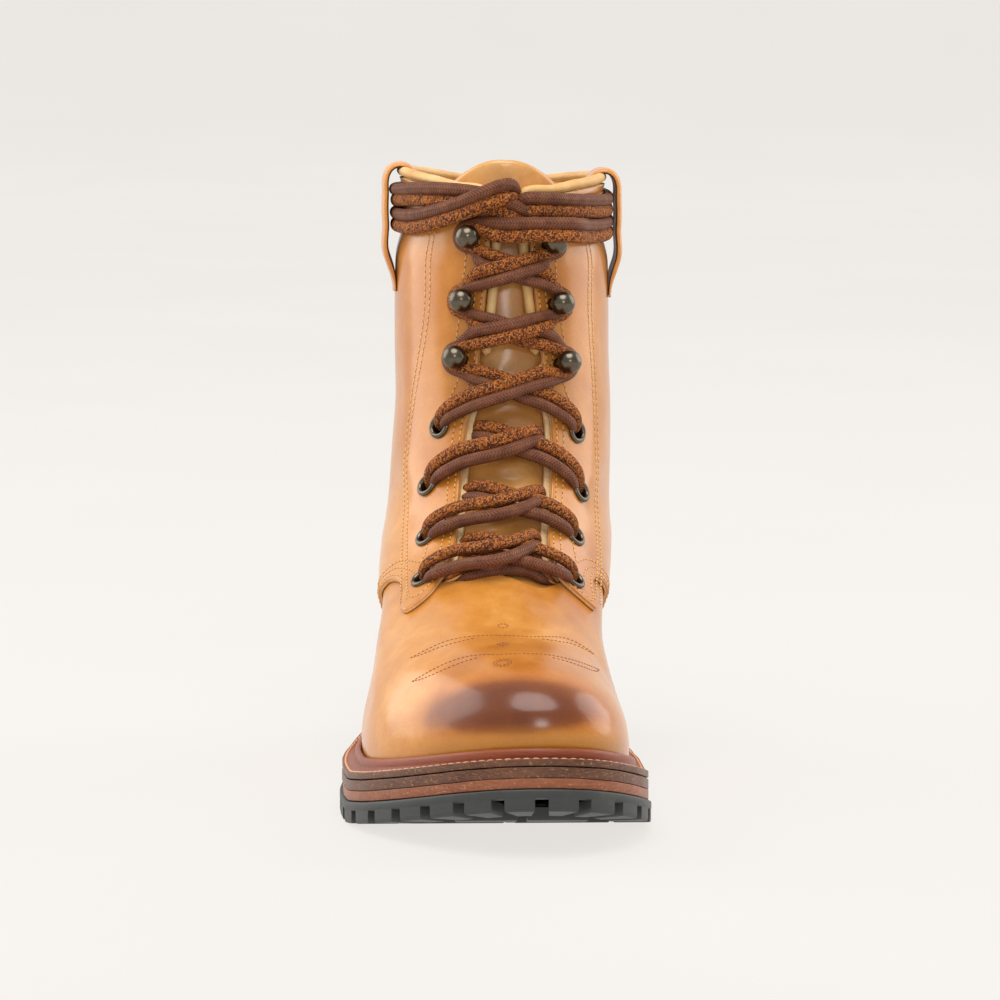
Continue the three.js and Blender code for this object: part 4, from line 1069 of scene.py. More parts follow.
# Folds of the leather. Each is a run of (turn, level) stops with a width and a depth, minus inwards.
FOLDS = [
    ([(0.42, 62), (0.36, 66), (0.3, 72), (0.24, 78)], 7.0, -0.7),
    ([(0.43, 70), (0.37, 75), (0.31, 82)], 6.0, 0.45),
    ([(0.59, 64), (0.64, 68), (0.7, 74), (0.76, 80)], 7.0, -0.8),
    ([(0.58, 72), (0.64, 77), (0.7, 84)], 6.0, 0.5),
    ([(0.2, 60), (0.14, 64), (0.08, 66)], 9.0, -0.5),
    ([(0.8, 58), (0.86, 62), (0.92, 65)], 9.0, -0.55),
    ([(0.36, 128), (0.3, 122), (0.22, 120)], 12.0, -0.5),
    ([(0.66, 112), (0.72, 106), (0.8, 104)], 12.0, -0.55),
    ([(0.38, 30), (0.36, 36), (0.352, 42)], 4.0, -0.35),
    ([(0.63, 30), (0.645, 37), (0.65, 43)], 4.0, -0.35),
    ([(0.455, 46), (0.49, 47.5), (0.53, 46.5)], 4.5, -0.3),
]


FOLD_FADE = 0.3


def folds_at(points):
    """Soft troughs and ridges of the leather, outward in millimetres."""
    total = np.zeros(len(points))
    for stops, width, depth in FOLDS:
        stops = np.array(stops)
        line = curve_through(last_point(stops[:, 0], stops[:, 1]), 1.0)
        place, distance = nearest(points, line)
        gone = place / (len(line) - 1)
        fade = smooth(gone / FOLD_FADE) * smooth((1 - gone) / FOLD_FADE)
        away = distance / width
        total += depth * (0.25 + 0.75 * fade) * fade * np.exp(-(away**2))
    x, y, z = points.T
    slow = np.sin(x / 17 + z / 23) * np.sin(y / 21 - z / 29) + 0.6 * np.sin(z / 13 + x / 31 + 2)
    return total + 0.16 * slow * smooth((z - 60) / 40)


def panel(name, node, turns, levels, field, out, inside, marks):
    """A leather panel: a grid of the last cut to a field, with rounded edges and a closed wall.

    Returns the sheet's places and faces, for seams."""
    params, faces = grid_on_last(turns, levels)
    params, faces = cut_faces(params, faces, field(offset_point(*params.T, out)))
    rim = last_point(*params.T)
    low, high = levels[0] + 0.01, levels[-1] - 0.01
    cut = [(a, b) for a, b in rim_edges(faces) if not (
        (params[a, 1] < low and params[b, 1] < low)
        or (params[a, 1] > high and params[b, 1] > high)
        or (params[a, 0] == params[b, 0] and params[a, 0] in (turns[0], turns[-1]))
    )]
    targets = dense(rim[[a for a, _ in cut]], rim[[b for _, b in cut]])
    for inset in (0.3 * EDGE_ROUND, EDGE_ROUND):
        _, away = nearest(last_point(*params.T), targets)
        params, faces = cut_faces(params, faces, away - inset, keep_below=True)
    base, normal = last_point(*params.T), last_normal(*params.T)
    _, away = nearest(base, targets)
    lift = folds_at(base)
    rounded = np.sqrt(1 - (1 - np.clip(away / EDGE_ROUND, 0, 1)) ** 2)
    top = inside + (out - inside) * (0.5 + 0.5 * rounded)
    outer = base + normal * (top + lift)[:, None]
    inner = base + normal * (inside + lift)[:, None]
    points, solid, slots = thicken(outer, inner, faces, (0, 1, 2))
    fields = {"edge": np.tile(np.exp(-away / EDGE_FLECK), 2)}
    fields.update({key: np.tile(value(base), 2) for key, value in marks.items()})
    materials = [tan_leather, flesh_leather, edge_leather]
    build_mesh(name, points, solid, materials, node, fields=fields, slots=slots)
    return params, faces


# The toe's dark cloud: its middle over the feather line and its half sizes, millimetres
CLOUD_ACROSS = -2
CLOUD_HALF = 47
CLOUD_HEIGHT = 18
CLOUD_ABOVE = 18
CLOUD_BELOW = 16


def toe_place(points):
    """Share of the last's length and height over the feather line."""
    forward = HEEL_CENTRE - points[:, 1]
    return forward / LAST_LENGTH, points[:, 2] - feather_height(forward)


def toe_burnish(points):
    """How dark the toe is rubbed, from 0 to 1."""
    reach, above = toe_place(points)
    front = smooth((reach - 0.8) / 0.1)
    across = (points[:, 0] - CLOUD_ACROSS) / CLOUD_HALF
    height = (above - CLOUD_HEIGHT) / np.where(above > CLOUD_HEIGHT, CLOUD_ABOVE, CLOUD_BELOW)
    return front * (1 - smooth((np.hypot(across, height) - 0.3) / 0.72))


def toe_glow(points):
    """Amber band low on the toe, above the welt."""
    reach, above = toe_place(points)
    return smooth((reach - 0.87) / 0.08) * (1 - smooth((above - 4) / 9))


def make_quarters():
    levels = even_levels(0.028 * COLLAR_TOP, COLLAR_TOP, 1.9)
    made = []
    for name, low, high in (("quarter_inner", 0.0006, 0.5), ("quarter_outer", 0.5, 0.9994)):
        turns = even_turns(low, high, 1.9)
        # The quarters carry painted shade in the burnish field.
        marks = {"burnish_and_shade": quarter_shade}
        made.append(panel(name + "_leather", name, turns, levels, quarter_field, QUARTER_OUT, GAP, marks))
    return made


def quarter_shade(points):
    """Painted shade on the shaft: darker towards its flanks above the ankle, where they turn from the light,
    and under the wraps beside the hooks; also darker low at the back.
    """
    x, y, z = points.T
    across = np.abs(x - lace_centre(z))
    flank = 0.3 * smooth((across - 24) / 14) * smooth((z - 75) / 30)
    hooks = 0.34 * np.exp(-(((across - 27) / 9) ** 2) - ((z - 176) / 17) ** 2)
    return np.maximum(flank, hooks) + 0.2 * smooth((y - 5) / 30) * smooth((110 - z) / 60)


def make_vamp():
    levels = even_levels(0.0, 0.42 * RISE, 1.7, turns=(0.3, 0.4, 0.5, 0.7))
    turns = even_turns(0.2, 0.8, 1.8, levels=(2, 25, 40, 60))
    marks = {"burnish_and_shade": toe_burnish, "glow": toe_glow}
    panel("vamp_leather", "upper", turns, levels, vamp_field, 0.0, -0.9, marks)


def make_lining():
    """The shaft's inner layer, full thickness behind the quarters and thin behind the vamp."""
    levels = even_levels(0.0, COLLAR_TOP, 3.0)
    turns = even_turns(0.0003, 0.9997, 3.0)
    params, faces = grid_on_last(turns, levels)
    params, faces = cut_faces(params, faces, lining_field(offset_point(*params.T, -UPPER_WALL)))
    base, normal = last_point(*params.T), last_normal(*params.T)
    lift = folds_at(base)
    behind = smooth((edge_field(base) - VAMP_UNDER - 1) / 3)
    outer = base + normal * (mix(-0.98, -0.06, behind) + lift)[:, None]
    inner = base + normal * (lift - UPPER_WALL)[:, None]
    points, solid, slots = thicken(outer, inner, faces, (1, 0, 1))
    build_mesh("shaft_lining", points, solid, [lining_leather, edge_leather], "upper", slots=slots)


# Wrinkles across the tongue: height, place across, half length, width, depth, all millimetres
TONGUE_WRINKLES = [
    (84, 2, 10, 2.4, 0.7), (95, -2, 8, 2.2, 0.8), (99, 3, 9, 2.0, -0.5), (103, -3, 8, 2.4, 0.9),
    (112, 2, 9, 2.2, 0.8), (116, -3, 8, 2.0, -0.5), (121, 3, 8, 2.4, 0.7), (133, -1, 7, 2.6, 0.6),
    (146, 1, 6, 2.6, 0.5), (160, -1, 5, 2.6, 0.4),
]



def tongue_press(points):
    """How far the tongue's face lies under its plain shape."""
    x, z = points[:, 0] - lace_centre(points[:, 2]), points[:, 2]
    press = 0.12 * np.sin(z / 5.5 + x / 9) * smooth((z - 80) / 30)
    for height, place, length, width, depth in TONGUE_WRINKLES:
        along = (x - place) / length
        across = (z - height - 0.9 * np.sin(along * 2.2 + height)) / width
        press += depth * np.exp(-(across**2) - np.abs(along) ** 3)
    return press


def make_tongue():
    """The tongue, wrinkled where the laces press it, with its domed top."""
    outer = -(UPPER_WALL + TONGUE_GAP)
    crown = TONGUE_CROWN + TONGUE_PEAK
    rows = even_levels(TONGUE_START * RISE, COLLAR_TOP + crown, 1.6, turns=(0.5,))
    columns = np.linspace(-1, 1, 61)
    across, height = np.meshgrid(columns, rows)
    across, height = across.ravel(), height.ravel()
    dome_foot = DOME_START * RISE
    rise = smooth((height - dome_foot) / (COLLAR_TOP + crown - dome_foot))
    turn = 0.5 + TONGUE_SHARE * across
    level = height - (TONGUE_DOME + 1.5 * TONGUE_PEAK) * np.abs(across) ** 1.7 * rise
    base, normal = last_point(turn, level), last_normal(turn, level)
    rim = np.minimum((1 - np.abs(across)) * 40, rows[-1] - height)
    soft = np.sqrt(1 - (1 - np.clip(rim / 1.2, 0, 1)) ** 2)
    middle = outer - TONGUE_THICKNESS / 2 - tongue_press(base)
    half = TONGUE_THICKNESS / 2 * (0.35 + 0.65 * soft)
    face = base + normal * (middle + half)[:, None]
    back = base + normal * (middle - half)[:, None]
    points, solid, slots = thicken(face, back, grid_faces(len(rows), len(columns)), (0, 1, 0))
    build_mesh("tongue_leather", points, solid, [tongue_leather, lining_leather], "tongue", slots=slots,
               finish="tongue_leather")


def make_binding():
    """The rolled binding: up one throat edge, round the collar and down the other."""
    middle = (QUARTER_OUT - UPPER_WALL) / 2

    def edge(side):
        found = []
        for share in BINDING_ROWS:
            z = share * COLLAR_HEIGHT
            half = throat_half(share) * COLLAR_HEIGHT + BINDING_RADIUS
            found.append([float(v) for v in front_place(lace_centre(z) + side * half, z)])
        return found

    ring = [[turn, RISE] for turn in np.linspace(0.5 + BINDING_CORNER, 1.5 - BINDING_CORNER, 25)]
    stops = np.array(edge(-1) + ring + [[1 + turn, level] for turn, level in edge(1)[::-1]])
    places = offset_point(*stops.T, middle)
    points, params = curve_through(places, 1.5, extra=stops)
    normals = last_normal(params[:, 0], params[:, 1])
    gone = lengths_along(points)
    lumps = 1 + 0.02 * np.sin(gone / 3.1) + 0.02 * np.sin(gone / 1.3)
    scale = ends_rounded(points, 2.0) * lumps[:, None]
    points, faces, uv = sweep(points, normals, circle(BINDING_RADIUS, 20, 1.95), scale)
    build_mesh("collar_piping", points, faces, [piping_leather], "collar_binding", uv=uv, finish="binding")


# A pull loop's path, outside to inside: height and reach outward, shares of COLLAR_HEIGHT
LOOP = table("height out", [
    (0.795, 0), (0.83, 0.003), (0.87, 0.017), (0.91, 0.0245), (0.965, 0.0245), (0.988, 0.019),
    (1.0045, 0.004), (1.0035, -0.011), (0.99, -0.0225), (0.94, -0.0195),
])


def make_pull_loop(side, name):
    """A strap that arches over the laces and the collar, tan outside; its inner face, turned to the shaft, is
    dark brown as painted shade.
    """
    seat = QUARTER_OUT + GAP
    path = np.stack([LOOP["out"], LOOP["height"]], -1) * COLLAR_HEIGHT
    path = curve_through(path, 1.2)
    level = np.minimum(path[:, 1] - SHAFT_DATUM, RISE)
    middle = last_point(np.full(len(path), 0.25 if side > 0 else 0.75), level)
    share = level / RISE
    depth = LAST_LENGTH * (front_reach(share) - back_reach(share)) / 2
    tangent = unit(np.gradient(path, axis=0))
    columns = np.linspace(-1, 1, 25)
    rounding = np.sqrt(1 - (1 - np.clip((1 - np.abs(columns)) * LOOP_WIDTH / 2, 0, 1)) ** 2)
    sheets = []
    for face in (1, -1):
        thin = 0.35 + 0.65 * smooth(np.arange(len(path)) / 9)[:, None]
        thickness = LOOP_THICKNESS * (0.5 + 0.5 * face * (0.3 + 0.7 * rounding))[None, :] * thin
        spread_y = columns * (LOOP_WIDTH / 2)
        sag = HALF_SHAFT * (1 - np.sqrt(1 - (spread_y[None, :] / depth[:, None]) ** 2))
        out = path[:, :1] + seat + tangent[:, 1:] * thickness
        up = path[:, 1:] - tangent[:, :1] * thickness - side * COLLAR_LEAN
        x = middle[:, :1] + side * (out - sag)
        y = middle[:, 1:2] + spread_y[None, :]
        sheets.append(np.stack(np.broadcast_arrays(x, y, up), -1).reshape(-1, 3))
    points, solid, slots = thicken(*sheets, grid_faces(len(path), len(columns)), (0, 1, 0))
    build_mesh(name + "_strap", points, solid, [strap_tan, strap_inner_shade], name, slots=slots,
               finish="strap_leather")


# Sole

SOLE_TURNS = spread(lambda fine: last_point(fine[:, None], np.zeros((1, 1))), 0, 1, 1.7)[:-1]


def sole_point(turn, margin, depth):
    """Outline of the sole at a turn, moved outward in plan, a depth under the feather line."""
    turn, margin, depth = np.broadcast_arrays(np.asarray(turn, float), margin, depth)
    point = last_point(turn, 0)
    along = last_point(turn + 2 * TURN_STEP, 0) - last_point(turn - 2 * TURN_STEP, 0)
    length = np.hypot(along[..., 0], along[..., 1])
    x = point[..., 0] - along[..., 1] / length * margin
    y = point[..., 1] + along[..., 0] / length * margin
    return np.stack([x, y, feather_height(HEEL_CENTRE - y) - depth], -1)


def edge_margin(turn):
    """How far the sole stands out past the feather line."""
    along = (1 - np.cos(TAU * turn)) / 2
    return mix(HEEL_MARGIN, WELT_MARGIN, smooth((along - 0.2) / 0.35))


def worn(turn, seed):
    """Slight unevenness of a trimmed edge, in millimetres."""
    waves = [(9, 0.09), (17, 0.07), (31, 0.06), (57, 0.05)]
    return sum(size * np.sin(TAU * count * turn + seed * (i + 1)) for i, (count, size) in enumerate(waves))


def ladder(count, offset, flip=False):
    """Faces across a ring of points, joined from side to side."""
    half = count // 2
    faces = []
    for i in range(half):
        a, b = i, i + 1
        c, d = (count - i - 1) % count, (count - i) % count
        face = [a, b, c, d] if i else [a, b, c]
        if b == c:
            face = [a, b, d]
        faces.append([v + offset for v in (face[::-1] if flip else face)])
    return faces


SOLE_EDGE = edge_margin(SOLE_TURNS)


def layer(name, node, rings, material, finish, edge=SOLE_EDGE):
    """A slab of the sole whose edge follows rings of (margin, depth), from the top to the bottom."""
    points = np.concatenate([sole_point(SOLE_TURNS, edge + margin, depth) for margin, depth in rings])
    count = len(SOLE_TURNS)
    faces = grid_faces(len(rings), count, closed=True)
    faces += ladder(count, 0) + ladder(count, (len(rings) - 1) * count, flip=True)
    build_mesh(name, points, faces, [material], node, finish=finish)


def rounded_edge(top, bottom, seed):
    """Rings of a slab's edge, rounded at both rims."""
    angles = np.radians([80, 60, 40, 20, 0])
    inward = SLAB_RIM * (np.cos(angles) - 1)
    under = SLAB_RIM * (1 - np.sin(angles))
    rings = [(-2.5, top)]
    rings += list(zip(inward, top + under))
    rings.append((0.0, (top + bottom) / 2))
    rings += list(zip(inward[::-1], (bottom - under)[::-1]))
    rings.append((-2.5, bottom))
    rough = worn(SOLE_TURNS, seed)
    return [(margin + rough * (margin > -2), depth) for margin, depth in rings]


MIDSOLE_TOP = WELT_THICKNESS + FEATHER_GAP
SLIP_TOP = WELT_THICKNESS + MIDSOLE_THICKNESS
RUBBER_TOP = SLIP_TOP + SLIP_SOLE_THICKNESS


# Spans of the welt's outer edge, which show cut fibre
EDGE_RINGS = 9


def make_welt():
    """A flat strip under the upper's edge, its raised lip, and a groove for the seam."""
    turns = SOLE_TURNS
    edge = SOLE_EDGE + worn(turns, 1)
    outer = FEATHER_GAP + LIP_THICKNESS
    top, bottom = FEATHER_GAP, WELT_THICKNESS
    groove = edge - WELT_SEAM_INSET
    rings = [sole_point(turns, WELT_INNER_MARGIN, bottom)]
    radius = WELT_EDGE_RADIUS
    for middle, angles in ((bottom - radius, (-90, -60, -30, 0)), (top + radius, (0, 30, 60, 90))):
        for angle in np.radians(angles):
            margin = edge - radius + radius * np.cos(angle)
            rings.append(sole_point(turns, margin, middle - radius * np.sin(angle)))
    for away, sink in ((0.6, 0.0), (0.35, 0.16), (0.0, 0.26), (-0.35, 0.16), (-0.6, 0.0)):
        rings.append(sole_point(turns, groove + away, top + sink))
    foot = offset_point(turns, 0, outer)
    foot[:, 2] = sole_point(turns, outer, top)[:, 2]
    rings.append(foot)
    lip = LIP_HEIGHT
    for level, out in ((0.45 * lip, outer * 0.95), (0.8 * lip, outer * 0.86), (0.95 * lip, outer * 0.72),
                       (lip, outer * 0.5), (0.97 * lip, FEATHER_GAP)):
        rings.append(offset_point(turns, level, out))
    inner = offset_point(turns, 0, FEATHER_GAP)
    inner[:, 2] = sole_point(turns, FEATHER_GAP, top)[:, 2]
    rings.append(inner)
    rings.append(sole_point(turns, WELT_INNER_MARGIN, top))
    faces = ring_faces(len(rings), len(turns))
    edge_faces = EDGE_RINGS * len(turns)
    slots = [1] * edge_faces + [0] * (len(faces) - edge_faces)
    build_mesh("welt_strip", np.concatenate(rings), faces, [welt_finish, midsole_finish], "welt", slots=slots,
               finish="welt_leather")


def make_sole_layers():
    midsole = rounded_edge(MIDSOLE_TOP - 0.2, SLIP_TOP, 2)
    layer("midsole_layer", "midsole", midsole, midsole_finish, "midsole_leather")
    slip = rounded_edge(SLIP_TOP + 0.15, RUBBER_TOP, 3)
    layer("slip_layer", "slip_sole", slip, slip_finish, "slip_leather")
    inset = -(UPPER_WALL + INSOLE_INSET)
    insole = [(inset - 1.2, -INSOLE_THICKNESS - 0.6), (inset - 0.3, -INSOLE_THICKNESS - 0.35),
              (inset, -INSOLE_THICKNESS + 0.3), (inset, 0.0)]
    layer("insole_board", "insole", insole, insole_finish, "insole_leather", edge=0)


def rubber_depth(forward):
    start = FOREFOOT_START * LAST_LENGTH
    tread = RUBBER_THICKNESS - LUG_DEPTH
    return RUBBER_TOP + mix(SHANK_THICKNESS, tread, smooth((forward - start) / TREAD_RAMP))


def prism(outline, top, bottom):
    """A block of rubber over a plan outline, with its lower rim rounded."""
    middle = outline.mean(axis=0)
    reach = np.linalg.norm(outline - middle, axis=1, keepdims=True)
    rings = []
    for inset, share in ((0, 0.0), (0, 0.75), (0.3 * LUG_BEVEL, 0.93), (LUG_BEVEL, 1.0)):
        plan = outline + (middle - outline) / reach * inset
        z = mix(top(plan), bottom(plan), share)
        rings.append(np.column_stack([plan, z]))
    return np.concatenate(rings), capped_faces(len(rings), len(outline))


def lug_outline(along, margin):
    """Plan of an edge lug between the outline of the sole and a line inside it."""
    outer = sole_point(along, margin - 0.1, 0.0)[:, :2]
    inner = sole_point(along[[1, 4, 7]], margin - LUG_LENGTH, 0.0)[:, :2]
    return np.concatenate([outer, inner[::-1]])


def edge_run():
    """Turns and travelled distance along the forefoot's edge from the toe to each side."""
    runs = []
    for side in (1, -1):
        turns = 0.5 - side * np.linspace(0, 0.48, 2400)
        points = sole_point(turns, WELT_MARGIN + RUBBER_PROUD, 0.0)
        gone = lengths_along(points[:, :2])
        forward = HEEL_CENTRE - points[:, 1]
        keep = forward > FOREFOOT_START * LAST_LENGTH + TREAD_RAMP
        runs.append((turns[keep], gone[keep]))
    return runs


def make_outsole():
    """The rubber: a thin plate, lugs round the forefoot's edge and bars across its middle."""
    proud = RUBBER_PROUD + worn(SOLE_TURNS, 4) * 0.6
    depth = rubber_depth(HEEL_CENTRE - sole_point(SOLE_TURNS, SOLE_EDGE, 0.0)[:, 1])
    top = RUBBER_TOP + GAP
    rings = [(-2.5, top), (proud - 0.7, top), (proud - 0.15, top + 0.25), (proud, top + 0.8),
             (proud, depth - 0.5), (proud - 0.2, depth - 0.1), (proud - 0.6, depth), (-2.5, depth)]
    layer("outsole_plate", "outsole", rings, lug_rubber, "rubber")

    def plate(plan):
        ahead = HEEL_CENTRE - plan[:, 1]
        return feather_height(ahead) - rubber_depth(ahead) + 0.6

    def floor_at(plan):
        return feather_height(HEEL_CENTRE - plan[:, 1]) - SOLE_TOP

    lugs = []
    margin = WELT_MARGIN + RUBBER_PROUD
    for run_turns, gone in edge_run():
        centre = LUG_PITCH / 2
        while centre + LUG_PITCH / 2 < gone[-1]:
            half = (LUG_PITCH - LUG_GAP) / 2
            along = np.interp(np.linspace(centre - half, centre + half, 9), gone, run_turns)
            lugs.append(prism(lug_outline(along, margin), plate, floor_at))
            centre += LUG_PITCH
    start = FOREFOOT_START * LAST_LENGTH + TREAD_RAMP
    end = LAST_LENGTH - LUG_LENGTH - CHANNEL_WIDTH
    for i in range(int((end - start) // CROSS_PITCH)):
        ahead = start + CROSS_PITCH * (i + 1)
        at = ahead / LAST_LENGTH
        half = HALF_BALL * plan_half(at) + margin - LUG_LENGTH - CHANNEL_WIDTH
        if at > 0.9:
            half *= 0.72
        x = HALF_BALL * plan_shift(at)
        bar = (CROSS_PITCH - LUG_GAP) / 2
        for side in (1, -1):
            near, far = x + side * CHANNEL_WIDTH / 2, x + side * half
            corners = np.array([(near, -bar), (far, -bar * 0.8), (far, bar * 0.8), (near, bar)])
            sides = zip(corners, np.roll(corners, -1, axis=0))
            plan = np.concatenate([np.linspace(a, b, 5)[:-1] for a, b in sides])
            plan[:, 1] += HEEL_CENTRE - ahead
            lugs.append(prism(plan, plate, floor_at))
    points, faces, _ = join(lugs)
    build_mesh("outsole_lugs", points, faces, [lug_rubber], "outsole", flat=True, finish="rubber")


def heel_outline(extra, inset, count=121):
    """Plan of the heel from one end of its breast round the back to the other, then along the breast."""
    limit = HEEL_BREAST - inset
    turns = np.linspace(-HEEL_SPAN, HEEL_SPAN, 2400)
    points = sole_point(turns, edge_margin(turns) + extra - inset, 0.0)
    keep = HEEL_CENTRE - points[:, 1] < limit
    chosen = np.linspace(turns[keep][0], turns[keep][-1], count)
    back = sole_point(chosen, edge_margin(chosen) + extra - inset, 0.0)[:, :2]
    share = np.linspace(0, 1, 21)[1:-1, None]
    breast = mix(back[-1], back[0], share)
    return np.concatenate([back, breast])


def heel_block(name, node, rings, material, finish):
    """A slab of the heel whose edge follows rings of (extra, inset, height of each plan point)."""
    stack = []
    for extra, inset, height in rings:
        plan = heel_outline(extra, inset)
        stack.append(np.column_stack([plan, height(HEEL_CENTRE - plan[:, 1])]))
    faces = capped_faces(len(stack), len(stack[0]))
    build_mesh(name, np.concatenate(stack), faces, [material], node, finish=finish)


def make_heel():
    top_depth = RUBBER_TOP + SHANK_THICKNESS + GAP
    low = HEEL_LIFT_THICKNESS + GAP

    def height(share):
        return lambda forward: mix(feather_height(forward) - top_depth, low + 0 * forward, share)

    rings = [(0, 1.5, height(0)), (0, 0.5, height(0)), (0, 0, height(0.06))]
    for line in STACK_LINES:
        for offset, inset in ((-STACK_GROOVE, 0), (0, 0.35), (STACK_GROOVE, 0)):
            rings.append((0, inset, height(line + offset)))
    rings += [(0, 0, height(0.94)), (0, 0.5, height(1)), (0, 1.5, height(1))]
    heel_block("heel_stack_block", "heel_stack", rings, midsole_finish, "midsole_leather")

    def flat(level):
        return lambda forward: level + 0 * forward

    top, foot = HEEL_LIFT_THICKNESS, LUG_DEPTH
    edge = ((1.5, top), (0.5, top), (0, top - 0.5), (0, foot + 0.4), (0.4, foot), (1.5, foot))
    rings = [(RUBBER_PROUD, inset, flat(level)) for inset, level in edge]
    heel_block("heel_lift_block", "heel_lift", rings, lug_rubber, "rubber")
    make_heel_lugs()


def make_heel_lugs():
    """Lugs round the heel lift, between its notches."""
    def lug_top(plan):
        return np.full(len(plan), LUG_DEPTH + 0.4)

    def ground_level(plan):
        return np.zeros(len(plan))

    turns = np.linspace(-HEEL_SPAN, HEEL_SPAN, 4800)
    margin = HEEL_MARGIN + RUBBER_PROUD
    points = sole_point(turns, edge_margin(turns) + RUBBER_PROUD, 0.0)
    keep = HEEL_CENTRE - points[:, 1] < HEEL_BREAST
    turns, points = turns[keep], points[keep]
    gone = lengths_along(points[:, :2])
    count = int(gone[-1] // LUG_PITCH)
    pitch = (gone[-1] + LUG_GAP) / count
    lugs = []
    for i in range(count):
        run = np.linspace(i * pitch, (i + 1) * pitch - LUG_GAP, 9)
        along = np.interp(run, gone, turns)
        outline = lug_outline(along, margin)
        outline[:, 1] = np.maximum(outline[:, 1], HEEL_CENTRE - HEEL_BREAST)
        lugs.append(prism(outline, lug_top, ground_level))
    core = heel_outline(RUBBER_PROUD, LUG_LENGTH + CHANNEL_WIDTH, 41)
    lugs.append(prism(core, lug_top, ground_level))
    points, faces, _ = join(lugs)
    build_mesh("heel_lugs", points, faces, [lug_rubber], "heel_lift", flat=True, finish="rubber")


# Eyelets and hooks

EYELET_PROFILE = [
    (EYELET_BORE, -UPPER_WALL - 0.4),
    (EYELET_BORE + EYELET_WALL, -UPPER_WALL - 0.4),
    (EYELET_BORE + EYELET_WALL, QUARTER_OUT + 0.1),
    (EYELET_FLANGE - 0.15, QUARTER_OUT + 0.1),
    (EYELET_FLANGE, QUARTER_OUT + 0.35),
    (EYELET_FLANGE - 0.15, QUARTER_OUT + 0.75),
    (EYELET_FLANGE - 0.55, QUARTER_OUT + 1.1),
    (EYELET_FLANGE - 1.05, QUARTER_OUT + 1.25),
    (EYELET_FLANGE - 1.5, QUARTER_OUT + 1.1),
    (EYELET_BORE + 0.12, QUARTER_OUT + 0.65),
    (EYELET_BORE, QUARTER_OUT),
]
HOOK_SEAT = HOOK_STEM + 0.6
BALL_MIDDLE = QUARTER_OUT + HOOK_BALL_HEIGHT
HOOK_PROFILE = [
    (0.0, QUARTER_OUT - 0.3),
    (HOOK_SEAT, QUARTER_OUT - 0.3),
    (HOOK_SEAT, QUARTER_OUT + 0.35),
    (HOOK_SEAT - 0.35, QUARTER_OUT + HOOK_BASE_THICKNESS),
    (HOOK_STEM + 0.5, QUARTER_OUT + HOOK_BASE_THICKNESS + 0.15),
    (HOOK_STEM, QUARTER_OUT + HOOK_BASE_THICKNESS + 0.7),
    (HOOK_STEM, BALL_MIDDLE - 4.05),
] + [
    (HOOK_BALL * math.cos(angle), BALL_MIDDLE + HOOK_BALL * math.sin(angle))
    for angle in np.radians(np.linspace(-62, 86, 20))
] + [(0.0, BALL_MIDDLE + HOOK_BALL)]


def seat(place):
    """Origin and axes of a fitting on the leather, its third axis outward."""
    base, normal = last_point(*place), last_normal(*place)
    base = base + normal * float(folds_at(base[None])[0])
    side = unit(np.cross(np.array([0, 0, 1.0]), normal))
    return base, np.stack([side, np.cross(normal, side), normal])


def turned(profile, place, closed):
    """A profile of (radius, height) turned round a seat. A closed one is a ring."""
    count = 48
    base, axes = seat(place)
    angle = TAU * np.arange(count) / count
    rings = [np.stack([r * np.cos(angle), r * np.sin(angle), np.full(count, h)], -1) for r, h in profile]
    inner = rings if closed else rings[1:-1]
    points = np.concatenate(inner)
    if closed:
        faces = ring_faces(len(inner), count)
    else:
        faces = grid_faces(len(inner), count, closed=True)
        last = (len(inner) - 1) * count
        foot, head = len(points), len(points) + 1
        points = np.vstack([points, rings[0][:1] * [0, 0, 1], rings[-1][:1] * [0, 0, 1]])
        faces += [[(i + 1) % count, i, foot] for i in range(count)]
        faces += [[last + i, last + (i + 1) % count, head] for i in range(count)]
    return base + points @ axes, faces


def make_fittings():
    for row in range(ROW_COUNT):
        kind = "eyelet" if row < EYELET_ROWS else "hook"
        for side, name in ((1, "inner"), (-1, "outer")):
            place = front_place(*lace_place(row, side))
            node = f"{kind}_{name}_{row + 1}"
            profile = EYELET_PROFILE if kind == "eyelet" else HOOK_PROFILE
            points, faces = turned(profile, place, closed=kind == "eyelet")
            build_mesh(node + "_metal", points, faces, [gunmetal], node, finish="gunmetal")


# Laces. A pair of cords, one brown and one speckled, runs from row to row. Each stop of a pair is
# (sideways, height, outward, speckled cord's offset sideways, upward and outward, thickness, plumb).
# A plumb share of 1 keeps a stop's sideways place and height although its outward lift leans.

# Crossings: share of the way over, share of the climb to the next row, height over the last for
# the lower and the upper pair, half the cords' spacing and their thickness.
EYELET_RUN = [
    (0.0, 0.0, -0.6, -0.6, 0.9, 0.78),
    (0.026, 0.17, 3.2, 3.2, 1.4, 0.92),
    (0.09, 0.39, 4.9, 4.9, 1.95, 1.08),
    (0.235, 0.61, 4.4, 5.0, 2.25, 1.13),
    (0.43, 0.76, 3.3, 7.0, 2.25, 1.13),
    (0.63, 0.93, 2.2, 5.8, 2.1, 1.06),
    (0.74, 0.98, 0.0, 2.2, 1.7, 0.9),
    (0.81, 1.0, -2.5, -2.5, 1.2, 0.5),
    (0.92, 1.0, -2.9, -2.9, 0.8, 0.45),
]
FIRST_HOOK_RUN = [
    (0.0, 0.0, -0.6, -0.6, 0.9, 0.78),
    (0.02, 0.12, 3.4, 3.4, 1.2, 0.88),
    (0.1, 0.28, 5.1, 5.1, 1.8, 0.95),
    (0.3, 0.46, 4.4, 5.2, 2.1, 1.05),
    (0.48, 0.56, 3.6, 7.4, 2.1, 1.05),
    (0.72, 0.71, 4.0, 6.0, 2.0, 1.0),
    (0.9, 0.79, 4.7, 5.2, 1.7, 0.9),
]
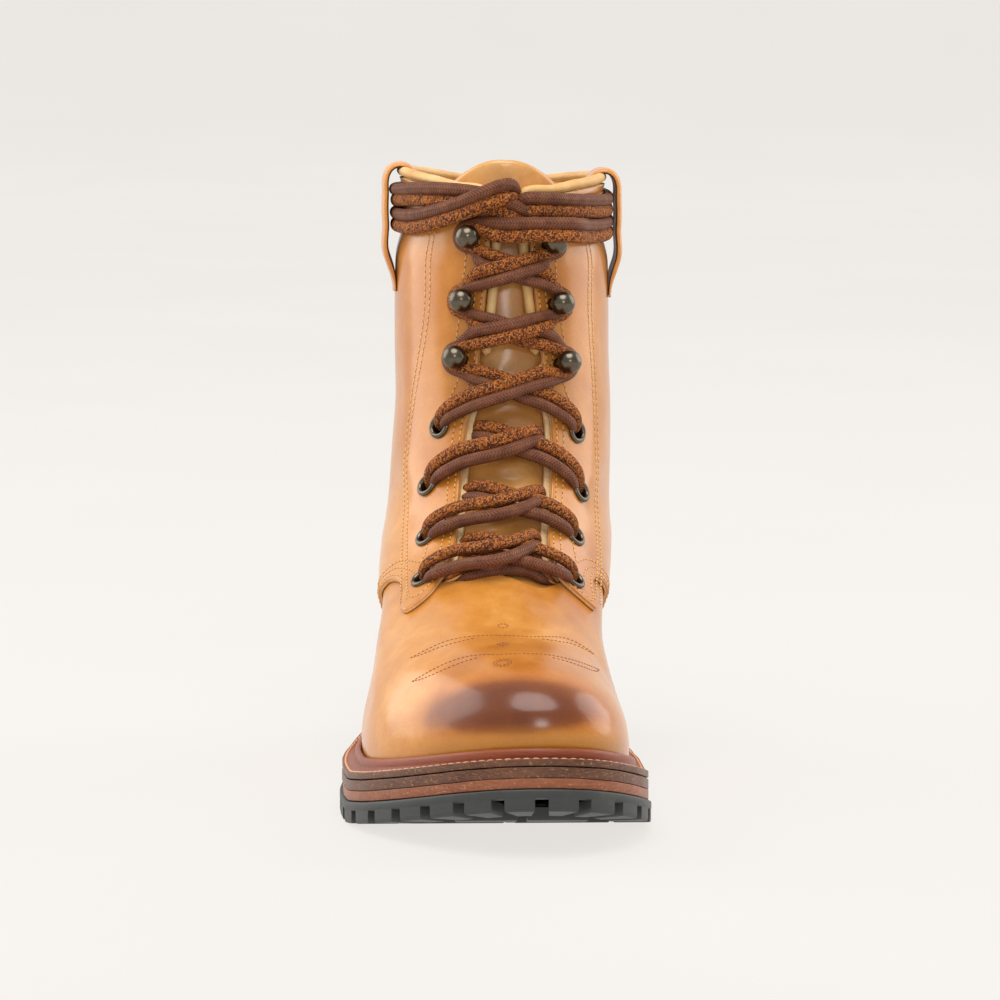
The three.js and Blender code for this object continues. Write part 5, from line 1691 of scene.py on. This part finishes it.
HOOK_RUN = [
    (0.14, 0.37, 4.7, 5.0, 2.0, 1.0),
    (0.4, 0.47, 4.4, 7.8, 2.2, 1.08),
    (0.7, 0.61, 4.4, 6.2, 2.1, 1.05),
    (0.9, 0.71, 4.8, 5.2, 1.8, 0.92),
]
# Round a hook's stem from below: outward from the centre line, up, over the last
HOOK_TURN = [(-0.5, -4.7, 5.0), (2.7, -3.2, 4.8), (4.0, -0.2, 4.7), (3.0, 2.8, 4.8), (0.6, 4.5, 5.1)]
SPECKLED_ABOVE = [1, 1, 1, 1, -1, 1, -1]

# The bar: sideways from the lacing's centre, height and height over the last, millimetres
BAR = [
    (-20, 78.6, -2.9), (-15.5, 80.0, -1.8), (-11.5, 81.0, 0.2), (-5, 82.3, 0.7), (3, 82.9, 0.8),
    (10, 82.2, 0.6), (14.5, 80.7, -0.2), (18, 79.0, -2.0), (21.5, 77.4, -2.9),
]

# Wraps: turn round the boot, share of COLLAR_HEIGHT, height over the last. The lower pair starts
# at the outer top hook and goes by the inner side, the upper pair the other way.
LOWER_WRAP = [
    (0.514, 0.915, 5.2), (0.469, 0.914, 9.0), (0.45, 0.913, 12.6), (0.4326, 0.912, 14.4),
    (0.414, 0.91, 13.4), (0.393, 0.908, 9.0), (0.3765, 0.907, 6.0), (0.32, 0.905, 4.4),
    (0.25, 0.91, 4.4), (0.16, 0.916, 4.3), (0.08, 0.919, 4.3), (0.0, 0.92, 4.3), (-0.08, 0.921, 4.3),
    (-0.16, 0.922, 4.3), (-0.25, 0.9225, 4.4), (-0.34, 0.923, 4.6), (-0.4, 0.935, 6.2),
    (-0.452, 0.958, 8.4), (-0.486, 0.9755, 8.0), (-0.504, 0.98, 5.0), (-0.514, 0.972, 1.0),
    (-0.52, 0.955, -1.2), (-0.522, 0.93, -1.6),
]
UPPER_WRAP = [
    (0.4594, 0.926, 4.4), (0.4951, 0.95, 4.2), (0.5353, 0.966, 4.2), (0.585, 0.973, 4.2),
    (0.634, 0.974, 4.3), (0.68, 0.971, 4.4), (0.75, 0.966, 4.4), (0.84, 0.965, 4.3), (0.92, 0.964, 4.3),
    (1.0, 0.964, 4.3), (1.08, 0.964, 4.3), (1.16, 0.96, 4.3), (1.25, 0.951, 4.4), (1.3, 0.949, 4.4),
    (1.372, 0.953, 4.5), (1.418, 0.9555, 4.8), (1.4577, 0.958, 5.2), (1.473, 0.957, 4.2),
    (1.482, 0.948, 1.2), (1.486, 0.93, -1.4), (1.487, 0.905, -1.6),
]
WRAP_SPREAD = 2.35
WRAP_THICKNESS = 1.12
HOOK_STACK = 0.9
HOOK_THICKNESS = 0.78
CORD_STEP = 0.7


def front_stop(x, z, out, offset, thickness, plumb=0.0):
    return np.array([x, z, out, *offset, thickness, plumb], float)


def run_over(row):
    """The run that crosses over from a row, with its plumb share at the start and at the end."""
    if row < EYELET_ROWS - 1:
        return EYELET_RUN, 1, 1
    if row == EYELET_ROWS - 1:
        return FIRST_HOOK_RUN, 1, 0
    return HOOK_RUN, 0, 0


def run_stops(row, side, above):
    """Stops of a crossing that starts on one side of a row."""
    run, plumb_start, plumb_end = run_over(row)
    (x0, z0), (x1, z1) = lace_place(row, side), lace_place(row + 1, -side)
    shares = np.array(run)
    x = mix(x0, x1, shares[:, 0])
    z = mix(z0, z1, shares[:, 1])
    plumb = mix(plumb_start, plumb_end, shares[:, 0])
    across = unit(np.stack([-np.gradient(z), np.gradient(x)], -1))
    across *= np.sign(across[:, 1:]) * above
    stops = []
    for i, (_, _, low, high, spacing, thickness) in enumerate(run):
        offset = (*(across[i] * spacing), 0.0)
        out = high if side < 0 else low
        stops.append(front_stop(x[i], z[i], out, offset, thickness, plumb[i]))
    return stops


def hook_stops(row, side, above):
    """Stops round a hook, the cords stacked against its stem."""
    x, z = lace_place(row, side)
    stops = []
    for outward, up, out in HOOK_TURN:
        inward = unit(np.array([-side * outward, -up])) * above
        offset = (*(inward * HOOK_STACK), 1.0 * above)
        stops.append(front_stop(x + side * outward, z + up, out, offset, HOOK_THICKNESS))
    return stops


def wrap_stops(rows):
    """Stops of a wrap as surface places: turn, height, outward and the offsets, as for the front."""
    stops = []
    for turn, share, out in rows:
        fade = smooth((out + 1.6) / 4)
        offset = (0.0, -WRAP_SPREAD * mix(0.45, 1, fade), 0.0)
        thickness = WRAP_THICKNESS * mix(0.7, 1, fade)
        stops.append(np.array([turn, share * COLLAR_HEIGHT, out, *offset, thickness]))
    return stops


def front_half(side):
    """Stops from the bar up to the top hook, for the half that starts on one side."""
    stops = []
    for row in range(ROW_COUNT):
        if row >= EYELET_ROWS:
            stops += hook_stops(row, side, SPECKLED_ABOVE[row - 1])
        if row + 1 < ROW_COUNT:
            stops += run_stops(row, side, SPECKLED_ABOVE[row])
            side = -side
    return stops


def bar_stops():
    """Stops of the bar between the lowest eyelets, thin where it goes through them."""
    stops = []
    for x, z, out in BAR:
        offset = (0.0, 1.9 * min(1, 1.2 + out / 3), 0.0)
        stops.append(front_stop(lace_centre(z) + x, z, out, offset, 1.0 if out > -1 else 0.5, 1.0))
    return stops


def lace_points():
    """Both cords' places on the last, their height over it and their thickness."""
    lower, upper = wrap_stops(LOWER_WRAP), wrap_stops(UPPER_WRAP)
    front = np.array(front_half(-1)[::-1] + bar_stops() + front_half(1))
    places = {}
    for cord, sign in (("brown", -1), ("speckled", 1)):
        x = front[:, 0] + sign * front[:, 3]
        z = front[:, 1] + sign * front[:, 4]
        turn, level = front_place(x, z)
        out = front[:, 2] + sign * front[:, 5]
        lifted = (np.maximum(out - QUARTER_OUT, 0) * front[:, 7])[:, None]
        for _ in range(3):
            shift = last_normal(turn, level) * lifted
            turn, level = front_place(x - shift[:, 0], z - shift[:, 2])
        start = surface_stops(lower[::-1], sign)
        end = surface_stops(upper, sign)
        middle = np.stack([turn, level, out, front[:, 6]], -1)
        places[cord] = np.concatenate([start, middle, end])
    return places


def surface_stops(stops, sign):
    rows = np.array(stops)
    level = level_at(rows[:, 0], rows[:, 1] + sign * rows[:, 4])
    return np.stack([rows[:, 0], level, rows[:, 2] + sign * rows[:, 5], rows[:, 6]], -1)


def carried(points, wanted):
    """Outward directions along a path that turn no more than they must."""
    tangent = unit(np.gradient(points, axis=0))
    normals = np.empty_like(points)
    current = wanted[0]
    for i in range(len(points)):
        t = tangent[i]
        current = unit(current - (current @ t) * t)
        flat = wanted[i] - (wanted[i] @ t) * t
        size = float(np.linalg.norm(flat))
        flat = flat / max(size, 1e-9) * (1 if flat @ current >= 0 else -1)
        current = unit(mix(current, flat, 0.25 * float(smooth((size - 0.3) / 0.4))))
        normals[i] = current
    return normals


def lace_paths():
    paths = {}
    for cord, rows in lace_points().items():
        stops = offset_point(rows[:, 0], rows[:, 1], rows[:, 2])
        points, extra = curve_through(stops, CORD_STEP, extra=rows)
        wanted = last_normal(extra[:, 0] % 1.0, np.maximum(extra[:, 1], 0))
        paths[cord] = (points, carried(points, wanted), extra[:, 3])
    return paths


def make_laces(paths):
    nodes = ["lace_bar", "lace_wraps"] + [f"lace_crossing_{i}" for i in range(1, ROW_COUNT)]
    sections = {"brown": circle(LACE_RADIUS, 16, 2.0), "speckled": circle(SPECKLED_WIDE, 16, SPECKLED_FLAT)}
    finishes = {"brown": brown_braid, "speckled": speckled_cord}
    for cord, (points, normals, thickness) in paths.items():
        scale = ends_rounded(points, 1.5) * thickness[:, None]
        mesh, faces, uv = sweep(points, normals, sections[cord], scale)
        build_mesh(cord + "_lace", mesh, faces, [finishes[cord]], nodes, uv=uv, finish="lace")


# Seams

def bead_form():
    """A stitch of unit size: long in x and rounded to both ends."""
    places = (-0.86, -0.45, 0, 0.45, 0.86)
    sides = 6
    angle = TAU * np.arange(sides) / sides
    points = [np.array([[-1.0, 0, 0]])]
    for x in places:
        radius = (1 - abs(x) ** 2.6) ** 0.5
        points.append(np.stack([np.full(sides, x), radius * np.cos(angle), radius * np.sin(angle)], -1))
    points.append(np.array([[1.0, 0, 0]]))
    faces = [[1 + i for i in face] for face in grid_faces(len(places), sides, closed=True)]
    end = 1 + len(places) * sides
    faces += [[0, 1 + (i + 1) % sides, 1 + i] for i in range(sides)]
    faces += [[end, end - sides + i, end - sides + (i + 1) % sides] for i in range(sides)]
    return np.concatenate(points), faces


BEAD, BEAD_FACES = bead_form()


# Stitches: pitch, length, width and rise
EDGE_STITCH = (2.3, 1.6, 0.62, 0.32)
SHAFT_STITCH = (2.3, 1.6, 0.6, 0.3)
COLLAR_STITCH = (2.3, 1.7, 0.6, 0.28)
WING_STITCH = (1.5, 1.1, 0.42, 0.2)
RING_STITCH = (1.2, 0.9, 0.4, 0.2)
WELT_STITCH = (3.1, 2.75, 0.95, 0.62)
NEEDLE_HOLE = (0.32, 0.3, 0.12)


class Seams:
    """Stitches gathered into one piece."""

    def __init__(self):
        self.parts = []

    def sew(self, points, normals, stitch, lean=0.0, holes=None):
        """Stitches an even pitch apart along a path, leaning a little across it."""
        pitch, length, width, rise = stitch
        gone = lengths_along(points)
        count = int((gone[-1] - length) / pitch)
        if count < 1:
            return
        middles = np.linspace(length / 2, gone[-1] - length / 2, count + 1)
        tangent, across, out = frames_along(points, normals)
        for at in middles:
            i = min(int(np.searchsorted(gone, at)), len(points) - 1)
            centre = np.array([np.interp(at, gone, points[:, k]) for k in range(3)])
            tilt = lean + rng.uniform(-0.05, 0.05)
            along = tangent[i] * math.cos(tilt) + across[i] * math.sin(tilt)
            side = np.cross(out[i], along)
            size = rng.uniform(0.94, 1.06)
            axes = np.stack([along * length / 2 * size, side * width / 2, out[i] * rise])
            self.parts.append((centre + BEAD @ axes, BEAD_FACES))
            if holes is not None:
                mark = np.stack([along, side, out[i]]) * np.array(NEEDLE_HOLE)[:, None]
                holes.parts.append((centre + along * pitch / 2 + BEAD @ mark, BEAD_FACES))

    def build(self, name, material):
        points, faces, _ = join(self.parts)
        build_mesh(name, points, faces, [material])


def on_leather(line, out, smoothing=0):
    """A line of (turn, level) places as points on the leather, with their outward directions."""
    for _ in range(smoothing):
        line[1:-1] = (line[:-2] + line[1:-1] * 2 + line[2:]) / 4
    base = last_point(line[:, 0], line[:, 1])
    normal = last_normal(line[:, 0], line[:, 1])
    return base + normal * (out + folds_at(base))[:, None], normal


def through(stops, step=0.6):
    """A smooth line of evenly spaced (turn, level) places through given stops."""
    stops = np.array(stops, float)
    at = spaced(last_point(*stops.T))
    fine = natural(stops, at, np.linspace(0, at[-1], 60 * len(stops)))
    gone = lengths_along(last_point(*fine.T))
    where = np.linspace(0, gone[-1], max(3, int(gone[-1] / step)))
    return np.stack([np.interp(where, gone, fine[:, k]) for k in range(2)], -1)


def beside(line, away):
    """The same line moved sideways over the leather."""
    _, across, _ = frames_along(*on_leather(line, 0.0))
    turn_step, level_step = 1e-3, 0.5
    here = last_point(*line.T)
    by_turn = (last_point(line[:, 0] + turn_step, line[:, 1]) - here) / turn_step
    by_level = (last_point(line[:, 0], line[:, 1] + level_step) - here) / level_step
    moved = line.copy()
    for i in range(len(line)):
        system = np.stack([by_turn[i], by_level[i]], -1)
        moved[i] += np.linalg.lstsq(system, across[i] * away, rcond=None)[0]
    return moved


# Seams up the shaft over the hidden lace flaps, from the collar down: (turn, level)
OUTER_SHAFT_SEAM = [(0.622, 178), (0.626, 166), (0.625, 141), (0.641, 119), (0.661, 97.5), (0.666, 76),
                    (0.653, 59), (0.631, 46)]
INNER_SHAFT_SEAM = [(0.345, 178), (0.349, 164.5), (0.356, 142), (0.351, 120), (0.3415, 98), (0.327, 76),
                    (0.321, 57), (0.334, 44)]

# Ornament on the toe: two rows of leaves and a line of rings, sewn on: (turn, level)
UPPER_WING = [(0.612, 35.5), (0.575, 39.8), (0.538, 41.8), (0.498, 42.1), (0.451, 41.6), (0.407, 40.1),
              (0.37, 35.6)]
LOWER_WING = [(0.61, 28.7), (0.581, 33.5), (0.5475, 36.5), (0.5125, 37), (0.471, 37), (0.432, 35.4),
              (0.38, 31.8)]
WING_HALF = 2.1
WING_OPEN = 0.32
LONG_LINE = 40
SHAFT_SEAM_HALF = 1.3
COLLAR_SEAM_DROP = 5.2
COLLAR_SEAM_END = 0.055
RINGS = [((0.494, 44.1), (1.7,)), ((0.504, 39.9), (1.0, 1.9)), ((0.519, 34.2), (2.0, 3.0))]


def sew_quarters(tan, dark, quarters):
    """Two rows along each quarter's whole outline and a third along its lower edge."""
    for params, faces in quarters:
        base = offset_point(*params.T, QUARTER_OUT)
        throat = throat_field(base, set_back(base[:, 2] / COLLAR_HEIGHT))
        edge = edge_field(base)
        outline = soft_min(throat, edge, TIP_ROUND)
        only_edge = np.where(throat > 9, edge - 6.6, -1.0)
        for values in (outline - 1.5, outline - 4.0, only_edge):
            for line in contour(params, faces, values):
                if len(line) > LONG_LINE:
                    tan.sew(*on_leather(line, QUARTER_OUT, 2), EDGE_STITCH, holes=dark)


def sew_shaft(tan, dark):
    for stops in (OUTER_SHAFT_SEAM, INNER_SHAFT_SEAM):
        line = through(stops)
        for away in (-SHAFT_SEAM_HALF, SHAFT_SEAM_HALF):
            tan.sew(*on_leather(beside(line, away), QUARTER_OUT), SHAFT_STITCH, holes=dark)


def sew_wings(dark):
    """Each wing is a line with a leaf opening from it at both ends."""
    for wing in (UPPER_WING, LOWER_WING):
        line = through(wing)
        share = np.linspace(-1, 1, len(line))
        shifted = beside(line, -2 * WING_HALF)
        ends = np.abs(share) > WING_OPEN
        swell = np.sin(np.pi * np.clip((1 - np.abs(share)) / (1 - WING_OPEN), 0, 1) * 0.8)
        leaf = mix(line, shifted, swell[:, None])
        for row in (line, leaf[ends & (share < 0)], leaf[ends & (share > 0)]):
            dark.sew(*on_leather(row, 0.0), WING_STITCH)


def sew_rings(dark):
    angle = np.linspace(0, TAU, 60)
    for place, radii in RINGS:
        centre, normal = last_point(*place), last_normal(*place)
        side = unit(np.cross(np.array([0, 0, 1.0]), normal))
        up = np.cross(normal, side)
        for radius in radii:
            ring = np.cos(angle)[:, None] * side * radius + np.sin(angle)[:, None] * up * radius
            turn, level = front_place(centre[0] + ring[:, 0], centre[2] + ring[:, 2])
            dark.sew(*on_leather(np.stack([turn, level], -1), 0.0), RING_STITCH)


def sew_collar(tan):
    turns = np.linspace(0.5 + COLLAR_SEAM_END, 1.5 - COLLAR_SEAM_END, 900)
    line = np.stack([turns, np.full(900, RISE - COLLAR_SEAM_DROP)], -1)
    tan.sew(*on_leather(line, QUARTER_OUT), COLLAR_STITCH)


def sew_welt(pale):
    edge = SOLE_EDGE - WELT_SEAM_INSET
    closed = np.concatenate([SOLE_TURNS, SOLE_TURNS[:1] + 1])
    seam = sole_point(closed, np.concatenate([edge, edge[:1]]), FEATHER_GAP + 0.2)
    pale.sew(seam, np.tile([0, 0, 1.0], (len(seam), 1)), WELT_STITCH, lean=0.08)


def make_seams(quarters):
    tan, pale, dark = Seams(), Seams(), Seams()
    sew_quarters(tan, dark, quarters)
    sew_shaft(tan, dark)
    sew_wings(dark)
    sew_rings(dark)
    sew_collar(tan)
    sew_welt(pale)
    tan.build("upper_stitches", tan_thread)
    pale.build("welt_stitches", pale_thread)
    dark.build("toe_ornament", dark_thread)


# Studio, as the photograph shows it: a pale seamless ground and broad soft lights

CAMERA_FOCUS = Vector((0, -0.151, 0.28))
CAMERA_DISTANCE = 1.5
CAMERA_AZIMUTH = math.radians(-2)
CAMERA_LENS = 157.1
LOOK_DOWN = 0.1138
LOOK_ASIDE = 0.0032


def make_camera():
    back = Vector((math.sin(CAMERA_AZIMUTH), -math.cos(CAMERA_AZIMUTH), 0))
    right = Vector((math.cos(CAMERA_AZIMUTH), math.sin(CAMERA_AZIMUTH), 0))
    data = bpy.data.cameras.new("camera")
    data.sensor_width = 36
    data.lens = CAMERA_LENS
    camera = bpy.data.objects.new("camera", data)
    bpy.context.scene.collection.objects.link(camera)
    camera.location = CAMERA_FOCUS + back * CAMERA_DISTANCE
    look = -back - right * LOOK_ASIDE - Vector((0, 0, LOOK_DOWN))
    camera.rotation_mode = "QUATERNION"
    camera.rotation_quaternion = look.to_track_quat("-Z", "Y")
    bpy.context.scene.camera = camera


def make_ground():
    """A pale sheet that curves up far behind the boot."""
    half, depth, radius, height = 6.0, 5.0, 2.0, 7.0
    bend = np.radians(np.arange(10, 91, 10))
    profile = [(-half, 0.0), (-2.0, 0.0), (0.0, 0.0), (depth, 0.0)]
    profile += [(depth + radius * math.sin(a), radius * (1 - math.cos(a))) for a in bend]
    profile.append((depth + radius, height))
    points = [(x, y, z) for y, z in profile for x in (-half, half)]
    faces = [[2 * i, 2 * i + 1, 2 * i + 3, 2 * i + 2] for i in range(len(profile) - 1)]
    mesh = bpy.data.meshes.new("ground")
    mesh.from_pydata(points, [], faces)
    mesh.polygons.foreach_set("use_smooth", np.full(len(faces), True))
    made = Finish("ground_paper", roughness=0.95, emission_strength=0.85)
    tone = made.noise(made.place(), 3, 2, 0.5)
    glow = made.ramp(tone, [(0.2, srgb(241, 237, 232)), (0.8, srgb(243, 239, 234))])
    made.put(made.shader.inputs["Emission Color"], glow)
    base = made.ramp(tone, [(0.2, srgb(82, 81, 80)), (0.8, srgb(86, 85, 84))])
    mesh.materials.append(made.finish(base))
    ground = bpy.data.objects.new("ground", mesh)
    bpy.context.scene.collection.objects.link(ground)


# Lights: name, place, size in metres, power in watts
LIGHTS = [
    ("left", (-1.8, 0.6, 0.9), 2.0, 23),
    ("right", (1.8, 0.6, 0.9), 2.0, 20),
    ("top", (-0.1, -0.75, 1.9), 1.6, 26),
    ("front", (0.12, -2.6, 1.0), 0.5, 6),
]
AIM = Vector((0, -0.1, 0.11))


def make_lights():
    for name, place, size, power in LIGHTS:
        data = bpy.data.lights.new(name, "AREA")
        data.shape = "DISK"
        data.size = size
        data.energy = power
        lamp = bpy.data.objects.new(name, data)
        lamp.location = place
        lamp.rotation_mode = "QUATERNION"
        lamp.rotation_quaternion = (AIM - Vector(place)).to_track_quat("-Z", "Y")
        bpy.context.scene.collection.objects.link(lamp)
    world = bpy.data.worlds.new("world")
    bpy.context.scene.world = world
    world.use_nodes = True
    background = world.node_tree.nodes["Background"]
    background.inputs["Color"].default_value = (1.0, 0.985, 0.965, 1.0)
    background.inputs["Strength"].default_value = 0.56
    bpy.context.scene.view_settings.view_transform = "Standard"


make_camera()
make_ground()
make_lights()
paths = lace_paths()
quarters = make_quarters()
make_vamp()
make_lining()
make_tongue()
make_binding()
make_pull_loop(1, "pull_loop_inner")
make_pull_loop(-1, "pull_loop_outer")
make_welt()
make_sole_layers()
make_outsole()
make_heel()
make_fittings()
make_laces(paths)
make_seams(quarters)
